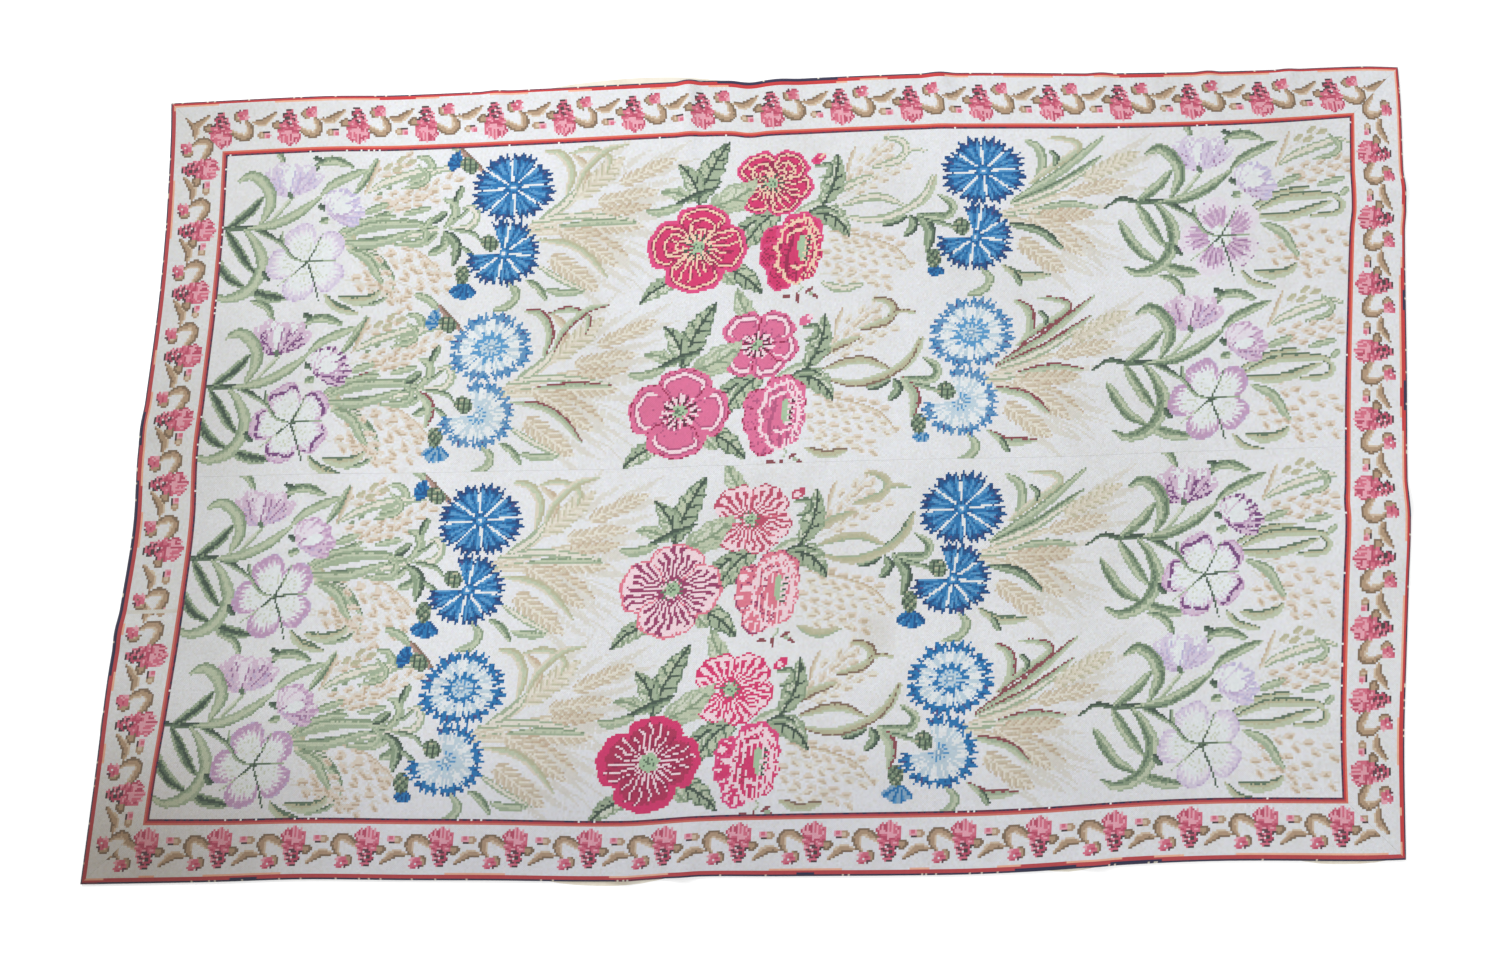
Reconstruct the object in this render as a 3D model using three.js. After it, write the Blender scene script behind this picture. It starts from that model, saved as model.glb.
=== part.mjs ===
// A needlepoint rug lying flat on the floor, in millimetres with +Z up.
// Two stitched canvas panels are seamed along the rug's middle, a mitred border is sewn round them,
// and a thin lining lies under it all. +X runs along the rug and +Y towards its far edge.

import * as THREE from 'three';

// Whole rug, measured over the turned hem of the border
const RUG_LENGTH = 2438;
const RUG_WIDTH = 1516;
// The slanted stitches pull the canvas out of square, so the far edge sits this far along +X
const FAR_EDGE_SHIFT = 113;
// The border's usual width, from the outer edge to the seam with the field
const BORDER_WIDTH = 116;

// Thicknesses of the two layers
const LINING_THICKNESS = 1.0;
const LAYER_GAP = 0.3;
const CANVAS_THICKNESS = 3.4;

// Neighbouring pieces stay this far apart along a seam
const SEAM_GAP = 0.32;

// Steps between the section lines of the sheets
const STEP_ALONG = 76;
const STEP_ACROSS = 92;
const NARROWEST_STEP = 9;
// A ripple at least this high gets two more section lines
const TALL_RIPPLE = 5.6;
const LINING_STEP = 50;

// Section of the border from its outer edge inwards: the canvas is turned under to a thicker round hem
const HEM_SECTION = [
  { fromEdge: 0, underside: 1.3, top: 2.6 },
  { fromEdge: 2.5, underside: 0.2, top: 4.9 },
  { fromEdge: 12, underside: 0, top: 5.5 },
  { fromEdge: 34, underside: 0, top: 4.2 },
  { fromEdge: BORDER_WIDTH, underside: 0, top: CANVAS_THICKNESS },
];

// How far each edge strays outwards from a straight line.
// Places run from left to right on the near and far edges, and from near to far on the other two.
const EDGE_DRIFT = {
  near: [
    { at: 0, out: 4 }, { at: 0.1, out: 4 }, { at: 0.17, out: 2 }, { at: 0.25, out: 7 },
    { at: 0.31, out: 10 }, { at: 0.41, out: 16 }, { at: 0.47, out: 10 }, { at: 0.53, out: 12 },
    { at: 0.66, out: 15 }, { at: 0.72, out: 12 }, { at: 0.8, out: 2 }, { at: 0.87, out: -1 },
    { at: 0.97, out: 4 }, { at: 1, out: 3 },
  ],
  far: [
    { at: 0, out: 0 }, { at: 0.125, out: 6 }, { at: 0.19, out: 3 }, { at: 0.31, out: 8 },
    { at: 0.38, out: 12 }, { at: 0.43, out: 14 }, { at: 0.5, out: 11 }, { at: 0.56, out: 15 },
    { at: 0.63, out: 16 }, { at: 0.69, out: 12 }, { at: 0.77, out: 5 }, { at: 0.88, out: 2 },
    { at: 0.97, out: 4 }, { at: 1, out: 0 },
  ],
  left: [
    { at: 0, out: 3 }, { at: 0.12, out: -1 }, { at: 0.25, out: -4 }, { at: 0.34, out: -13 },
    { at: 0.44, out: -20 }, { at: 0.53, out: -13 }, { at: 0.6, out: -16 }, { at: 0.72, out: -20 },
    { at: 0.82, out: -18 }, { at: 0.9, out: -12 }, { at: 0.96, out: -6 }, { at: 1, out: 0 },
  ],
  right: [
    { at: 0, out: 2 }, { at: 0.14, out: 1 }, { at: 0.25, out: 7 }, { at: 0.33, out: 12 },
    { at: 0.41, out: 17 }, { at: 0.44, out: 12 }, { at: 0.6, out: 12 }, { at: 0.78, out: 11 },
    { at: 0.81, out: 14 }, { at: 0.86, out: 9 }, { at: 0.95, out: 5 }, { at: 1, out: 0 },
  ],
};

// How much wider the border is at places than its usual width, along the same sides
const BORDER_EXTRA = {
  near: [
    { at: 0, out: 0 }, { at: 0.1, out: -4 }, { at: 0.25, out: -6 }, { at: 0.42, out: -9 },
    { at: 0.55, out: -5 }, { at: 0.75, out: -3 }, { at: 1, out: -3 },
  ],
  far: [
    { at: 0, out: 1 }, { at: 0.4, out: -1 }, { at: 0.85, out: -3 }, { at: 0.95, out: -7 },
    { at: 1, out: -11 },
  ],
  left: [
    { at: 0, out: -2 }, { at: 0.06, out: 0 }, { at: 0.15, out: 7 }, { at: 0.23, out: 10 },
    { at: 0.32, out: 7 }, { at: 0.42, out: 4 }, { at: 0.7, out: 1 }, { at: 1, out: 1 },
  ],
  right: [
    { at: 0, out: -2 }, { at: 0.1, out: 2 }, { at: 0.22, out: 5 }, { at: 0.4, out: 7 },
    { at: 0.45, out: 3 }, { at: 0.6, out: 1 }, { at: 0.7, out: -3 }, { at: 0.9, out: -12 },
    { at: 1, out: -15 },
  ],
};

// Ripples that run in from the edges, where the border is fuller than the field
const RIPPLES = [
  { side: 'far', at: 0.268, halfWidth: 34, height: 4.5, reach: 120 },
  { side: 'far', at: 0.426, halfWidth: 30, height: 10, reach: 210 },
  { side: 'far', at: 0.5, halfWidth: 46, height: 5.5, reach: 150 },
  { side: 'far', at: 0.63, halfWidth: 40, height: 7.5, reach: 170 },
  { side: 'far', at: 0.761, halfWidth: 32, height: 5, reach: 140 },
  { side: 'far', at: 0.847, halfWidth: 30, height: 6, reach: 140 },
  { side: 'far', at: 0.911, halfWidth: 28, height: 4, reach: 110 },
  { side: 'near', at: 0.415, halfWidth: 38, height: 5, reach: 150 },
  { side: 'near', at: 0.458, halfWidth: 34, height: 6, reach: 130 },
  { side: 'near', at: 0.77, halfWidth: 40, height: 5.5, reach: 150 },
  { side: 'left', at: 0.307, halfWidth: 44, height: 6, reach: 140 },
  { side: 'left', at: 0.568, halfWidth: 50, height: 5, reach: 130 },
  { side: 'right', at: 0.434, halfWidth: 42, height: 6.5, reach: 150 },
  { side: 'right', at: 0.837, halfWidth: 40, height: 6, reach: 140 },
];

// Broad low swells where the whole cloth doesn't lie quite down
const SWELLS = [
  { along: 0.43, across: 0.8, radius: 330, height: 3.2 },
  { along: 0.7, across: 0.72, radius: 300, height: 2.4 },
  { along: 0.22, across: 0.36, radius: 300, height: 2.2 },
  { along: 0.62, across: 0.24, radius: 320, height: 2.6 },
  { along: 0.88, across: 0.45, radius: 240, height: 2.4 },
];

// How far the lining reaches past the hem, or stops short of it where this is below zero
const LINING_REACH = {
  near: [
    { at: 0, out: -9 }, { at: 0.33, out: -8 }, { at: 0.37, out: 5 }, { at: 0.42, out: 7 },
    { at: 0.47, out: -6 }, { at: 0.71, out: -8 }, { at: 0.75, out: 5 }, { at: 0.79, out: -4 },
    { at: 0.9, out: -7 }, { at: 0.94, out: 5 }, { at: 0.98, out: 3 }, { at: 1, out: -5 },
  ],
  far: [
    { at: 0, out: -9 }, { at: 0.28, out: -8 }, { at: 0.33, out: 7 }, { at: 0.38, out: 13 },
    { at: 0.42, out: 10 }, { at: 0.45, out: 2 }, { at: 0.49, out: -8 }, { at: 1, out: -9 },
  ],
  left: [
    { at: 0, out: -9 }, { at: 0.15, out: -6 }, { at: 0.19, out: 4 }, { at: 0.23, out: -6 },
    { at: 1, out: -9 },
  ],
  right: [{ at: 0, out: -5 }, { at: 0.05, out: -8 }, { at: 1, out: -9 }],
};

const WOOL_FIELD = new THREE.MeshStandardMaterial({ color: 0xd5d4cf, roughness: 0.95, metalness: 0 });
const WOOL_BORDER = new THREE.MeshStandardMaterial({ color: 0xd3c6c0, roughness: 0.95, metalness: 0 });
const LINEN = new THREE.MeshStandardMaterial({ color: 0xd9d3c4, roughness: 0.9, metalness: 0 });

const FIELD_LENGTH = RUG_LENGTH - 2 * BORDER_WIDTH;
const FIELD_WIDTH = RUG_WIDTH - 2 * BORDER_WIDTH;
const UNDERSIDE = LINING_THICKNESS + LAYER_GAP;

const { lerp, smoothstep } = THREE.MathUtils;

// A smooth curve through the rows of a table, read at one place
function readTable(rows, at) {
  const last = rows.length - 1;
  let k = 0;
  while (k < last - 1 && at > rows[k + 1].at) k += 1;
  const slope = (i) => {
    const a = rows[Math.max(i - 1, 0)];
    const b = rows[Math.min(i + 1, last)];
    return (b.out - a.out) / (b.at - a.at);
  };
  const span = rows[k + 1].at - rows[k].at;
  const u = THREE.MathUtils.clamp((at - rows[k].at) / span, 0, 1);
  const rise = u * u * (3 - 2 * u);
  const startPull = u * (1 - u) * (1 - u) * span * slope(k);
  const endPull = u * u * (1 - u) * span * slope(k + 1);
  return lerp(rows[k].out, rows[k + 1].out, rise) + startPull - endPull;
}

// A point of the rug's plan. along runs 0 to 1 from left to right, across 0 to 1 from near to far.
function planPoint(along, across) {
  const left = readTable(EDGE_DRIFT.left, across);
  const right = readTable(EDGE_DRIFT.right, across);
  const near = readTable(EDGE_DRIFT.near, along);
  const far = readTable(EDGE_DRIFT.far, along);
  const x = (along - 0.5) * RUG_LENGTH + (across - 0.5) * FAR_EDGE_SHIFT + lerp(-left, right, along);
  const y = (across - 0.5) * RUG_WIDTH + lerp(-near, far, across);
  return new THREE.Vector2(x, y);
}

// A point inside the border's seam, where u and v run 0 to 1 over the field alone
function fieldPoint(u, v) {
  const width = (side, at) => BORDER_WIDTH + readTable(BORDER_EXTRA[side], at);
  const along = lerp(width('left', v) / RUG_LENGTH, 1 - width('right', v) / RUG_LENGTH, u);
  const across = lerp(width('near', u) / RUG_WIDTH, 1 - width('far', u) / RUG_WIDTH, v);
  return new THREE.Vector2(along, across);
}

// Distance along a side and inwards from it, for a ripple of that side
function fromSide(side, along, across) {
  const sides = {
    near: [along, RUG_LENGTH, across * RUG_WIDTH],
    far: [along, RUG_LENGTH, (1 - across) * RUG_WIDTH],
    left: [across, RUG_WIDTH, along * RUG_LENGTH],
    right: [across, RUG_WIDTH, (1 - along) * RUG_LENGTH],
  };
  return sides[side];
}

// How high the cloth stands off the lining
function lift(along, across) {
  let height = 0;
  for (const ripple of RIPPLES) {
    const [place, length, inwards] = fromSide(ripple.side, along, across);
    const beside = Math.abs(place - ripple.at) * length / ripple.halfWidth;
    if (beside < 1) {
      const crest = Math.cos(beside * Math.PI / 2) ** 2;
      height += ripple.height * crest * (1 - smoothstep(inwards, 0, ripple.reach));
    }
  }
  for (const swell of SWELLS) {
    const x = (along - swell.along) * RUG_LENGTH;
    const y = (across - swell.across) * RUG_WIDTH;
    height += swell.height * (1 - smoothstep(Math.hypot(x, y), 0, swell.radius));
  }
  return height;
}

// Section lines from 0 to 1, even ones and more of them over the ripples, as shares of the field
function sectionLines(fieldLength, sideLength, step, sideNames, middle) {
  const marks = [];
  for (const ripple of RIPPLES.filter((row) => sideNames.includes(row.side))) {
    const centre = (ripple.at * sideLength - BORDER_WIDTH) / fieldLength;
    const reach = ripple.halfWidth / fieldLength;
    marks.push(centre, centre - reach, centre + reach);
    if (ripple.height > TALL_RIPPLE) marks.push(centre - reach / 2, centre + reach / 2);
  }
  const count = Math.round(fieldLength / step);
  for (let k = 1; k < count; k += 1) marks.push(k / count);
  const fixed = middle ? [0, 0.5, 1] : [0, 1];
  const closest = NARROWEST_STEP / fieldLength;
  const lines = [...fixed];
  for (const mark of marks) {
    const clear = lines.every((line) => Math.abs(line - mark) > closest);
    if (clear && mark > 0 && mark < 1) lines.push(mark);
  }
  return lines.sort((a, b) => a - b);
}

// The first and last line move in by half of the seam's gap
function drawIn(lines, length, gap) {
  const inset = gap / 2 / length;
  const drawn = [...lines];
  drawn[0] += inset;
  drawn[drawn.length - 1] -= inset;
  return drawn;
}

// One closed sheet from section lines both ways. place gives a point's underside and top.
// The first direction, turned a quarter turn to the left, is the second.
function sheet(name, first, second, place, material) {
  const positions = [];
  const indices = [];
  const across = second.length;
  for (const a of first) {
    for (const b of second) {
      const { plan, underside, top } = place(a, b);
      positions.push(plan.x, plan.y, underside, plan.x, plan.y, top);
    }
  }
  const under = (i, j) => 2 * (i * across + j);
  const over = (i, j) => under(i, j) + 1;
  const quad = (a, b, c, d) => indices.push(a, b, c, a, c, d);
  const ends = [first.length - 1, across - 1];
  for (let i = 0; i < ends[0]; i += 1) {
    for (let j = 0; j < ends[1]; j += 1) {
      quad(over(i, j), over(i + 1, j), over(i + 1, j + 1), over(i, j + 1));
      quad(under(i, j), under(i, j + 1), under(i + 1, j + 1), under(i + 1, j));
    }
    quad(under(i, 0), under(i + 1, 0), over(i + 1, 0), over(i, 0));
    quad(under(i + 1, ends[1]), under(i, ends[1]), over(i, ends[1]), over(i + 1, ends[1]));
  }
  for (let j = 0; j < ends[1]; j += 1) {
    quad(under(0, j + 1), under(0, j), over(0, j), over(0, j + 1));
    quad(under(ends[0], j), under(ends[0], j + 1), over(ends[0], j + 1), over(ends[0], j));
  }
  const geometry = new THREE.BufferGeometry();
  geometry.setAttribute('position', new THREE.Float32BufferAttribute(positions, 3));
  geometry.setIndex(indices);
  geometry.computeVertexNormals();
  const mesh = new THREE.Mesh(geometry, material);
  mesh.name = name;
  return mesh;
}

// A field panel between two lines across the field
function fieldPanel(name, columns, rows) {
  const place = (u, v) => {
    const point = fieldPoint(u, v);
    const underside = UNDERSIDE + lift(point.x, point.y);
    const plan = planPoint(point.x, point.y);
    return { plan, underside, top: underside + CANVAS_THICKNESS };
  };
  const drawnColumns = drawIn(columns, FIELD_LENGTH, SEAM_GAP);
  const drawnRows = drawIn(rows, FIELD_WIDTH, SEAM_GAP);
  return sheet(name, drawnColumns, drawnRows, place, WOOL_FIELD);
}

// A border strip from one corner of the rug to the next, cut at 45 degrees at both ends
function borderStrip(name, corner, nextCorner, lines, length) {
  const place = (u, section) => {
    const inwards = section.fromEdge / BORDER_WIDTH;
    const outer = corner.clone().lerp(nextCorner, u);
    const point = fieldPoint(outer.x, outer.y).lerp(outer, 1 - inwards);
    const base = UNDERSIDE + lift(point.x, point.y);
    return {
      plan: planPoint(point.x, point.y),
      underside: base + section.underside,
      top: base + section.top,
    };
  };
  const sections = HEM_SECTION.map((row) => ({ ...row }));
  sections.at(-1).fromEdge -= SEAM_GAP / 2;
  return sheet(name, drawIn(lines, length, SEAM_GAP * Math.SQRT2), sections, place, WOOL_BORDER);
}

// The lining's outline, one side after the other, then its flat sheet
function lining() {
  const outline = [];
  const side = (length, point) => {
    const count = Math.round(length / LINING_STEP);
    for (let k = 0; k < count; k += 1) outline.push(point(k / count));
  };
  const edge = {
    near: (u) => -readTable(LINING_REACH.near, u) / RUG_WIDTH,
    far: (u) => 1 + readTable(LINING_REACH.far, u) / RUG_WIDTH,
    left: (v) => -readTable(LINING_REACH.left, v) / RUG_LENGTH,
    right: (v) => 1 + readTable(LINING_REACH.right, v) / RUG_LENGTH,
  };
  side(RUG_LENGTH, (u) => planPoint(lerp(edge.left(0), edge.right(0), u), edge.near(u)));
  side(RUG_WIDTH, (v) => planPoint(edge.right(v), lerp(edge.near(1), edge.far(1), v)));
  side(RUG_LENGTH, (u) => planPoint(lerp(edge.right(1), edge.left(1), u), edge.far(1 - u)));
  side(RUG_WIDTH, (v) => planPoint(edge.left(1 - v), lerp(edge.far(0), edge.near(0), v)));
  const geometry = new THREE.ExtrudeGeometry(new THREE.Shape(outline), {
    depth: LINING_THICKNESS,
    bevelEnabled: false,
  });
  const mesh = new THREE.Mesh(geometry, LINEN);
  mesh.name = 'lining';
  return mesh;
}

const columns = sectionLines(FIELD_LENGTH, RUG_LENGTH, STEP_ALONG, ['near', 'far'], false);
const rows = sectionLines(FIELD_WIDTH, RUG_WIDTH, STEP_ACROSS, ['left', 'right'], true);
const mirrored = (lines) => lines.map((line) => 1 - line).reverse();

const nearLeft = new THREE.Vector2(0, 0);
const nearRight = new THREE.Vector2(1, 0);
const farRight = new THREE.Vector2(1, 1);
const farLeft = new THREE.Vector2(0, 1);

const rug = new THREE.Group();
rug.add(
  lining(),
  fieldPanel('field_panel_near', columns, rows.filter((row) => row <= 0.5)),
  fieldPanel('field_panel_far', columns, rows.filter((row) => row >= 0.5)),
  borderStrip('border_near', nearLeft, nearRight, columns, RUG_LENGTH),
  borderStrip('border_right', nearRight, farRight, rows, RUG_WIDTH),
  borderStrip('border_far', farRight, farLeft, mirrored(columns), RUG_LENGTH),
  borderStrip('border_left', farLeft, nearLeft, mirrored(rows), RUG_WIDTH),
);

// The origin is at the middle of the rug's box, on the floor
const box = new THREE.Box3().setFromObject(rug);
const middle = box.getCenter(new THREE.Vector3());
rug.position.set(-middle.x, -middle.y, -box.min.z);

export default rug;
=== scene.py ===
"""A needlepoint rug lying flat: its stitch charts, its uneven cloth, its yarns and the light on it."""

import math

import bpy
import numpy as np
from mathutils import Matrix


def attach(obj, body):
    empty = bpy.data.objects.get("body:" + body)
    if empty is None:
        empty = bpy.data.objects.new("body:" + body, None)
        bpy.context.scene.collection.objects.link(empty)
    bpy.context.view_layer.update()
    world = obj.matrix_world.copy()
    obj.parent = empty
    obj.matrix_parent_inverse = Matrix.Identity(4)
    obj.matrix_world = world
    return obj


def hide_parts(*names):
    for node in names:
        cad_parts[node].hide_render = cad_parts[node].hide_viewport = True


# Pattern: sizes in stitches. Columns run along the rug and rows from its far edge to its near one.
RUG_COLUMNS, RUG_ROWS = 672, 420
BORDER_STITCHES = 32
FIELD_COLUMNS = RUG_COLUMNS - 2 * BORDER_STITCHES
FIELD_ROWS = RUG_ROWS - 2 * BORDER_STITCHES
BAND_ROWS = FIELD_ROWS // 4

# Yarns as they look in daylight
YARNS = {
    "ground": (219, 222, 228),
    "ground_warm": (217, 219, 220),
    "white": (230, 233, 233),
    "leaf_black": (68, 86, 76),
    "leaf_dark": (96, 118, 98),
    "leaf": (132, 152, 126),
    "leaf_soft": (157, 174, 149),
    "leaf_pale": (183, 194, 170),
    "leaf_wash": (202, 209, 194),
    "olive": (178, 178, 150),
    "straw_pale": (217, 214, 203),
    "straw": (209, 203, 187),
    "wheat": (200, 191, 171),
    "olive_soft": (188, 186, 162),
    "tan_soft": (193, 180, 160),
    "tan": (188, 170, 148),
    "peach_tan": (213, 203, 190),
    "awn": (210, 209, 203),
    "bark": (128, 106, 92),
    "bark_mauve": (168, 138, 130),
    "maroon": (134, 72, 80),
    "navy": (32, 56, 108),
    "plum_blue": (76, 76, 130),
    "blue_deep": (18, 80, 138),
    "blue": (32, 114, 174),
    "blue_light": (82, 148, 198),
    "ice_blue": (128, 166, 196),
    "ice": (184, 204, 217),
    "ray": (220, 226, 230),
    "lilac_mist": (220, 215, 226),
    "lilac_pale": (206, 197, 219),
    "lilac": (186, 170, 203),
    "lilac_blue": (186, 180, 214),
    "mauve": (186, 152, 188),
    "mauve_deep": (158, 120, 160),
    "mauve_soft": (206, 184, 207),
    "violet": (118, 72, 126),
    "rose_black": (92, 36, 62),
    "rose_deep": (150, 38, 80),
    "crimson": (206, 52, 108),
    "hot_pink": (214, 72, 128),
    "pink": (214, 108, 150),
    "pink_soft": (216, 118, 140),
    "pink_pale": (234, 208, 218),
    "cream": (232, 198, 176),
    "eye_green": (162, 190, 158),
    "line_red": (198, 58, 60),
    "line_peach": (232, 176, 150),
    "line_navy": (44, 42, 74),
    "scroll": (174, 148, 122),
    "scroll_dark": (128, 108, 88),
    "scroll_pale": (204, 186, 164),
    "outline": (76, 64, 66),
    "rose_ink": (100, 62, 74),
    "carnation": (208, 108, 132),
    "carnation_pale": (224, 160, 176),
    "carnation_deep": (184, 76, 104),
    "petal_stripe": (150, 60, 104),
    "wine": (172, 48, 88),
    "line_coral": (216, 112, 92),
    "line_rose": (184, 68, 74),
    "line_clay": (202, 112, 100),
    "pink_line": (176, 84, 126),
    "line_plum": (106, 46, 70),
    "ice_rim": (92, 142, 186),
}
YARN = {name: number for number, name in enumerate(YARNS)}

# How a leaf or stem is shaded across, from one edge at -1 to the other at 1
LEAVES = {
    "leaf": ((-0.7, "leaf"), (-0.35, "leaf_dark"), (0.15, "leaf"), (0.65, "leaf_pale"), (1, "leaf_soft")),
    "leaf_strong": ((-0.5, "leaf_black"), (-0.1, "leaf_dark"), (0.4, "leaf_soft"), (1, "leaf")),
    "leaf_soft": ((-0.5, "leaf"), (0.2, "leaf_pale"), (1, "leaf_soft")),
    "leaf_shadow": ((-0.55, "leaf"), (0.05, "leaf_black"), (0.5, "leaf_dark"), (1, "leaf_soft")),
    "leaf_broad": ((-0.6, "leaf"), (-0.3, "leaf_soft"), (0.5, "leaf_pale"), (1, "leaf_soft")),
    "awn": ((0, "awn"), (1, "awn")),
    "leaf_pale": ((-0.4, "leaf_soft"), (1, "leaf_pale")),
    "blade": ((-0.6, "leaf_soft"), (0.3, "straw_pale"), (1, "leaf_soft")),
    "olive": ((-0.3, "olive"), (0.4, "leaf_pale"), (1, "straw")),
    "gold": ((-0.5, "leaf_dark"), (0.1, "olive"), (1, "leaf_pale")),
    "tan_leaf": ((-0.3, "tan"), (0.4, "wheat"), (1, "straw")),
    "edged": ((-0.45, "maroon"), (0.2, "leaf_soft"), (1, "leaf_pale")),
    "stem": ((-0.2, "leaf_dark"), (1, "leaf_soft")),
    "stem_dark": ((0.1, "leaf_black"), (1, "leaf_dark")),
    "stem_pale": ((0, "leaf_soft"), (1, "leaf_wash")),
    "twig": ((-0.2, "bark"), (1, "bark_mauve")),
    "straw": ((0, "straw"), (1, "straw_pale")),
    "olive_blade": ((-0.3, "olive_soft"), (0.5, "olive"), (1, "leaf_soft")),
    "edged_blade": ((-0.5, "bark"), (0.4, "olive"), (1, "leaf_pale")),
    "straw_leaf": ((-0.3, "wheat"), (0.4, "straw_pale"), (1, "straw")),
    "twig_pale": ((0, "tan_soft"), (1, "peach_tan")),
    "vein_leaf": ((0, "leaf_dark"), (1, "leaf_black")),
    "deep_tuft": ((0, "blue"), (1, "blue_light")),
    "deep_tuft_deep": ((0, "blue_deep"), (1, "blue")),
    "pale_tuft": ((0, "ice_blue"), (1, "blue_light")),
    "pale_tuft_deep": ((0, "blue"), (1, "ice_blue")),
    "lilac_crease": ((0, "lilac"), (1, "lilac")),
    "mauve_crease": ((0, "mauve"), (1, "mauve")),
    "scroll": ((-0.4, "scroll_dark"), (0.5, "scroll"), (1, "scroll_pale")),
    "skirt": ((-0.4, "carnation_deep"), (0.3, "carnation_pale"), (1, "carnation")),
    "skirt_pale": ((-0.2, "carnation_deep"), (0.3, "carnation_pale"), (1, "carnation")),
}


CURVE_STEP = 0.6


def curve(points):
    """Even places on a smooth line through a few points, with the share of the way at each."""
    points = np.array(points, float)
    ends = np.vstack([2 * points[0] - points[1], points, 2 * points[-1] - points[-2]])
    pieces = []
    for k in range(len(points) - 1):
        before, start, end, after = ends[k : k + 4]
        count = max(2, int(np.linalg.norm(end - start) / CURVE_STEP))
        t = np.arange(count)[:, None] / count
        bow = 2 * before - 5 * start + 4 * end - after
        twist = 3 * start - before - 3 * end + after
        pieces.append(start + ((end - before) * t + bow * t**2 + twist * t**3) / 2)
    line = np.vstack(pieces + [points[-1:]])
    way = np.concatenate([[0], np.cumsum(np.linalg.norm(np.diff(line, axis=0), axis=1))])
    return line, way / way[-1]


class Chart:
    """One yarn for each stitch of a piece. Places are given in the whole pattern's stitches."""

    def __init__(self, columns, rows, left=0, top=0, seed=1):
        self.yarn = np.zeros((rows, columns), np.int16)
        self.left, self.top = left, top
        self.shift = (0.0, 0.0)
        self.random = np.random.default_rng(seed)
        self.chance = self.random.random((rows, columns))

    def window(self, low, high):
        """The stitches between two corners, as a slice, with their places from the shifted origin."""
        dx, dy = self.shift
        rows, columns = self.yarn.shape
        x0 = int(np.clip(low[0] + dx - self.left - 2, 0, columns))
        x1 = int(np.clip(high[0] + dx - self.left + 3, 0, columns))
        y0 = int(np.clip(low[1] + dy - self.top - 2, 0, rows))
        y1 = int(np.clip(high[1] + dy - self.top + 3, 0, rows))
        x, y = np.meshgrid(np.arange(x0, x1) + 0.5, np.arange(y0, y1) + 0.5)
        part = (slice(y0, y1), slice(x0, x1))
        return part, x + self.left - dx, y + self.top - dy

    def lay(self, part, mask, yarn):
        """Stitches one yarn, or a number for each stitch, where the mask holds."""
        number = YARN[yarn] if isinstance(yarn, str) else yarn[mask]
        self.yarn[part][mask] = number

    def stroke(self, points, width, shades, tips=(0.3, 0.3), side=1):
        """A leaf, stem or blade along a line, tapered at its ends and shaded across."""
        line, way = curve(points)
        part, x, y = self.window(line.min(0) - width, line.max(0) + width)
        if not x.size:
            return
        ahead = np.gradient(line, axis=0)
        ahead /= np.linalg.norm(ahead, axis=1)[:, None]
        start = np.clip(way / max(tips[0], 1e-6), 0, 1)
        end = np.clip((1 - way) / max(tips[1], 1e-6), 0, 1)
        half = width / 2 * np.minimum(start, end) ** 0.6 + 0.32
        offset = np.stack([x, y], -1)[:, :, None, :] - line
        distance = np.linalg.norm(offset, axis=3)
        nearest = distance.argmin(2)
        rows, columns = np.indices(nearest.shape)
        offset = offset[rows, columns, nearest]
        across = ahead[nearest, 0] * offset[..., 1] - ahead[nearest, 1] * offset[..., 0]
        across = side * across / half[nearest] + 0.3 * (self.chance[part] - 0.5)
        limits, names = zip(*LEAVES[shades])
        band = np.searchsorted(limits[:-1], across)
        numbers = np.array([YARN[name] for name in names])[band]
        self.lay(part, distance.min(2) < half[nearest], numbers)

    def oval(self, centre, length, width, turn, yarn, rim=None):
        """A small filled oval, turned in degrees, with an optional outline."""
        part, x, y = self.window(np.array(centre) - length, np.array(centre) + length)
        angle = math.radians(turn)
        along = (x - centre[0]) * math.cos(angle) + (y - centre[1]) * math.sin(angle)
        across = (y - centre[1]) * math.cos(angle) - (x - centre[0]) * math.sin(angle)
        far = np.hypot(along / (length / 2), across / (width / 2))
        self.lay(part, far < 1, yarn)
        if rim:
            self.lay(part, (far < 1) & (far > 1 - 2.2 / width), rim)

    def round(self, centre, radius, aspect=1.0, turn=0.0):
        """Stitches round a centre, with their distance in radii and their angle in turns."""
        reach = 1.3 * radius * max(1, aspect)
        part, x, y = self.window(np.array(centre) - reach, np.array(centre) + reach)
        x, y = (x - centre[0]) / radius, (y - centre[1]) / (radius * aspect)
        return part, np.hypot(x, y), (np.arctan2(y, x) / (2 * math.pi) - turn) % 1


def blank(shape, ground):
    """Stitches all of one yarn, and the function that works another yarn into some of them."""
    numbers = np.full(shape, YARN[ground])

    def paint(mask, yarn):
        numbers[mask] = YARN[yarn]

    return numbers, paint


def teeth(angle, count):
    """A zigzag from 0 to 1 and back, this many times a turn."""
    return np.abs((angle * count) % 1 * 2 - 1)


def ripple(angle, count):
    """A wave from -1 to 1, this many times a turn."""
    return np.sin(2 * math.pi * (angle * count))


# Flowers
CORNFLOWER_FLORETS = 8
TEETH_PER_FLORET = 4
STREAKS_PER_FLORET = 3
STAR_POINTS = 13


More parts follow.
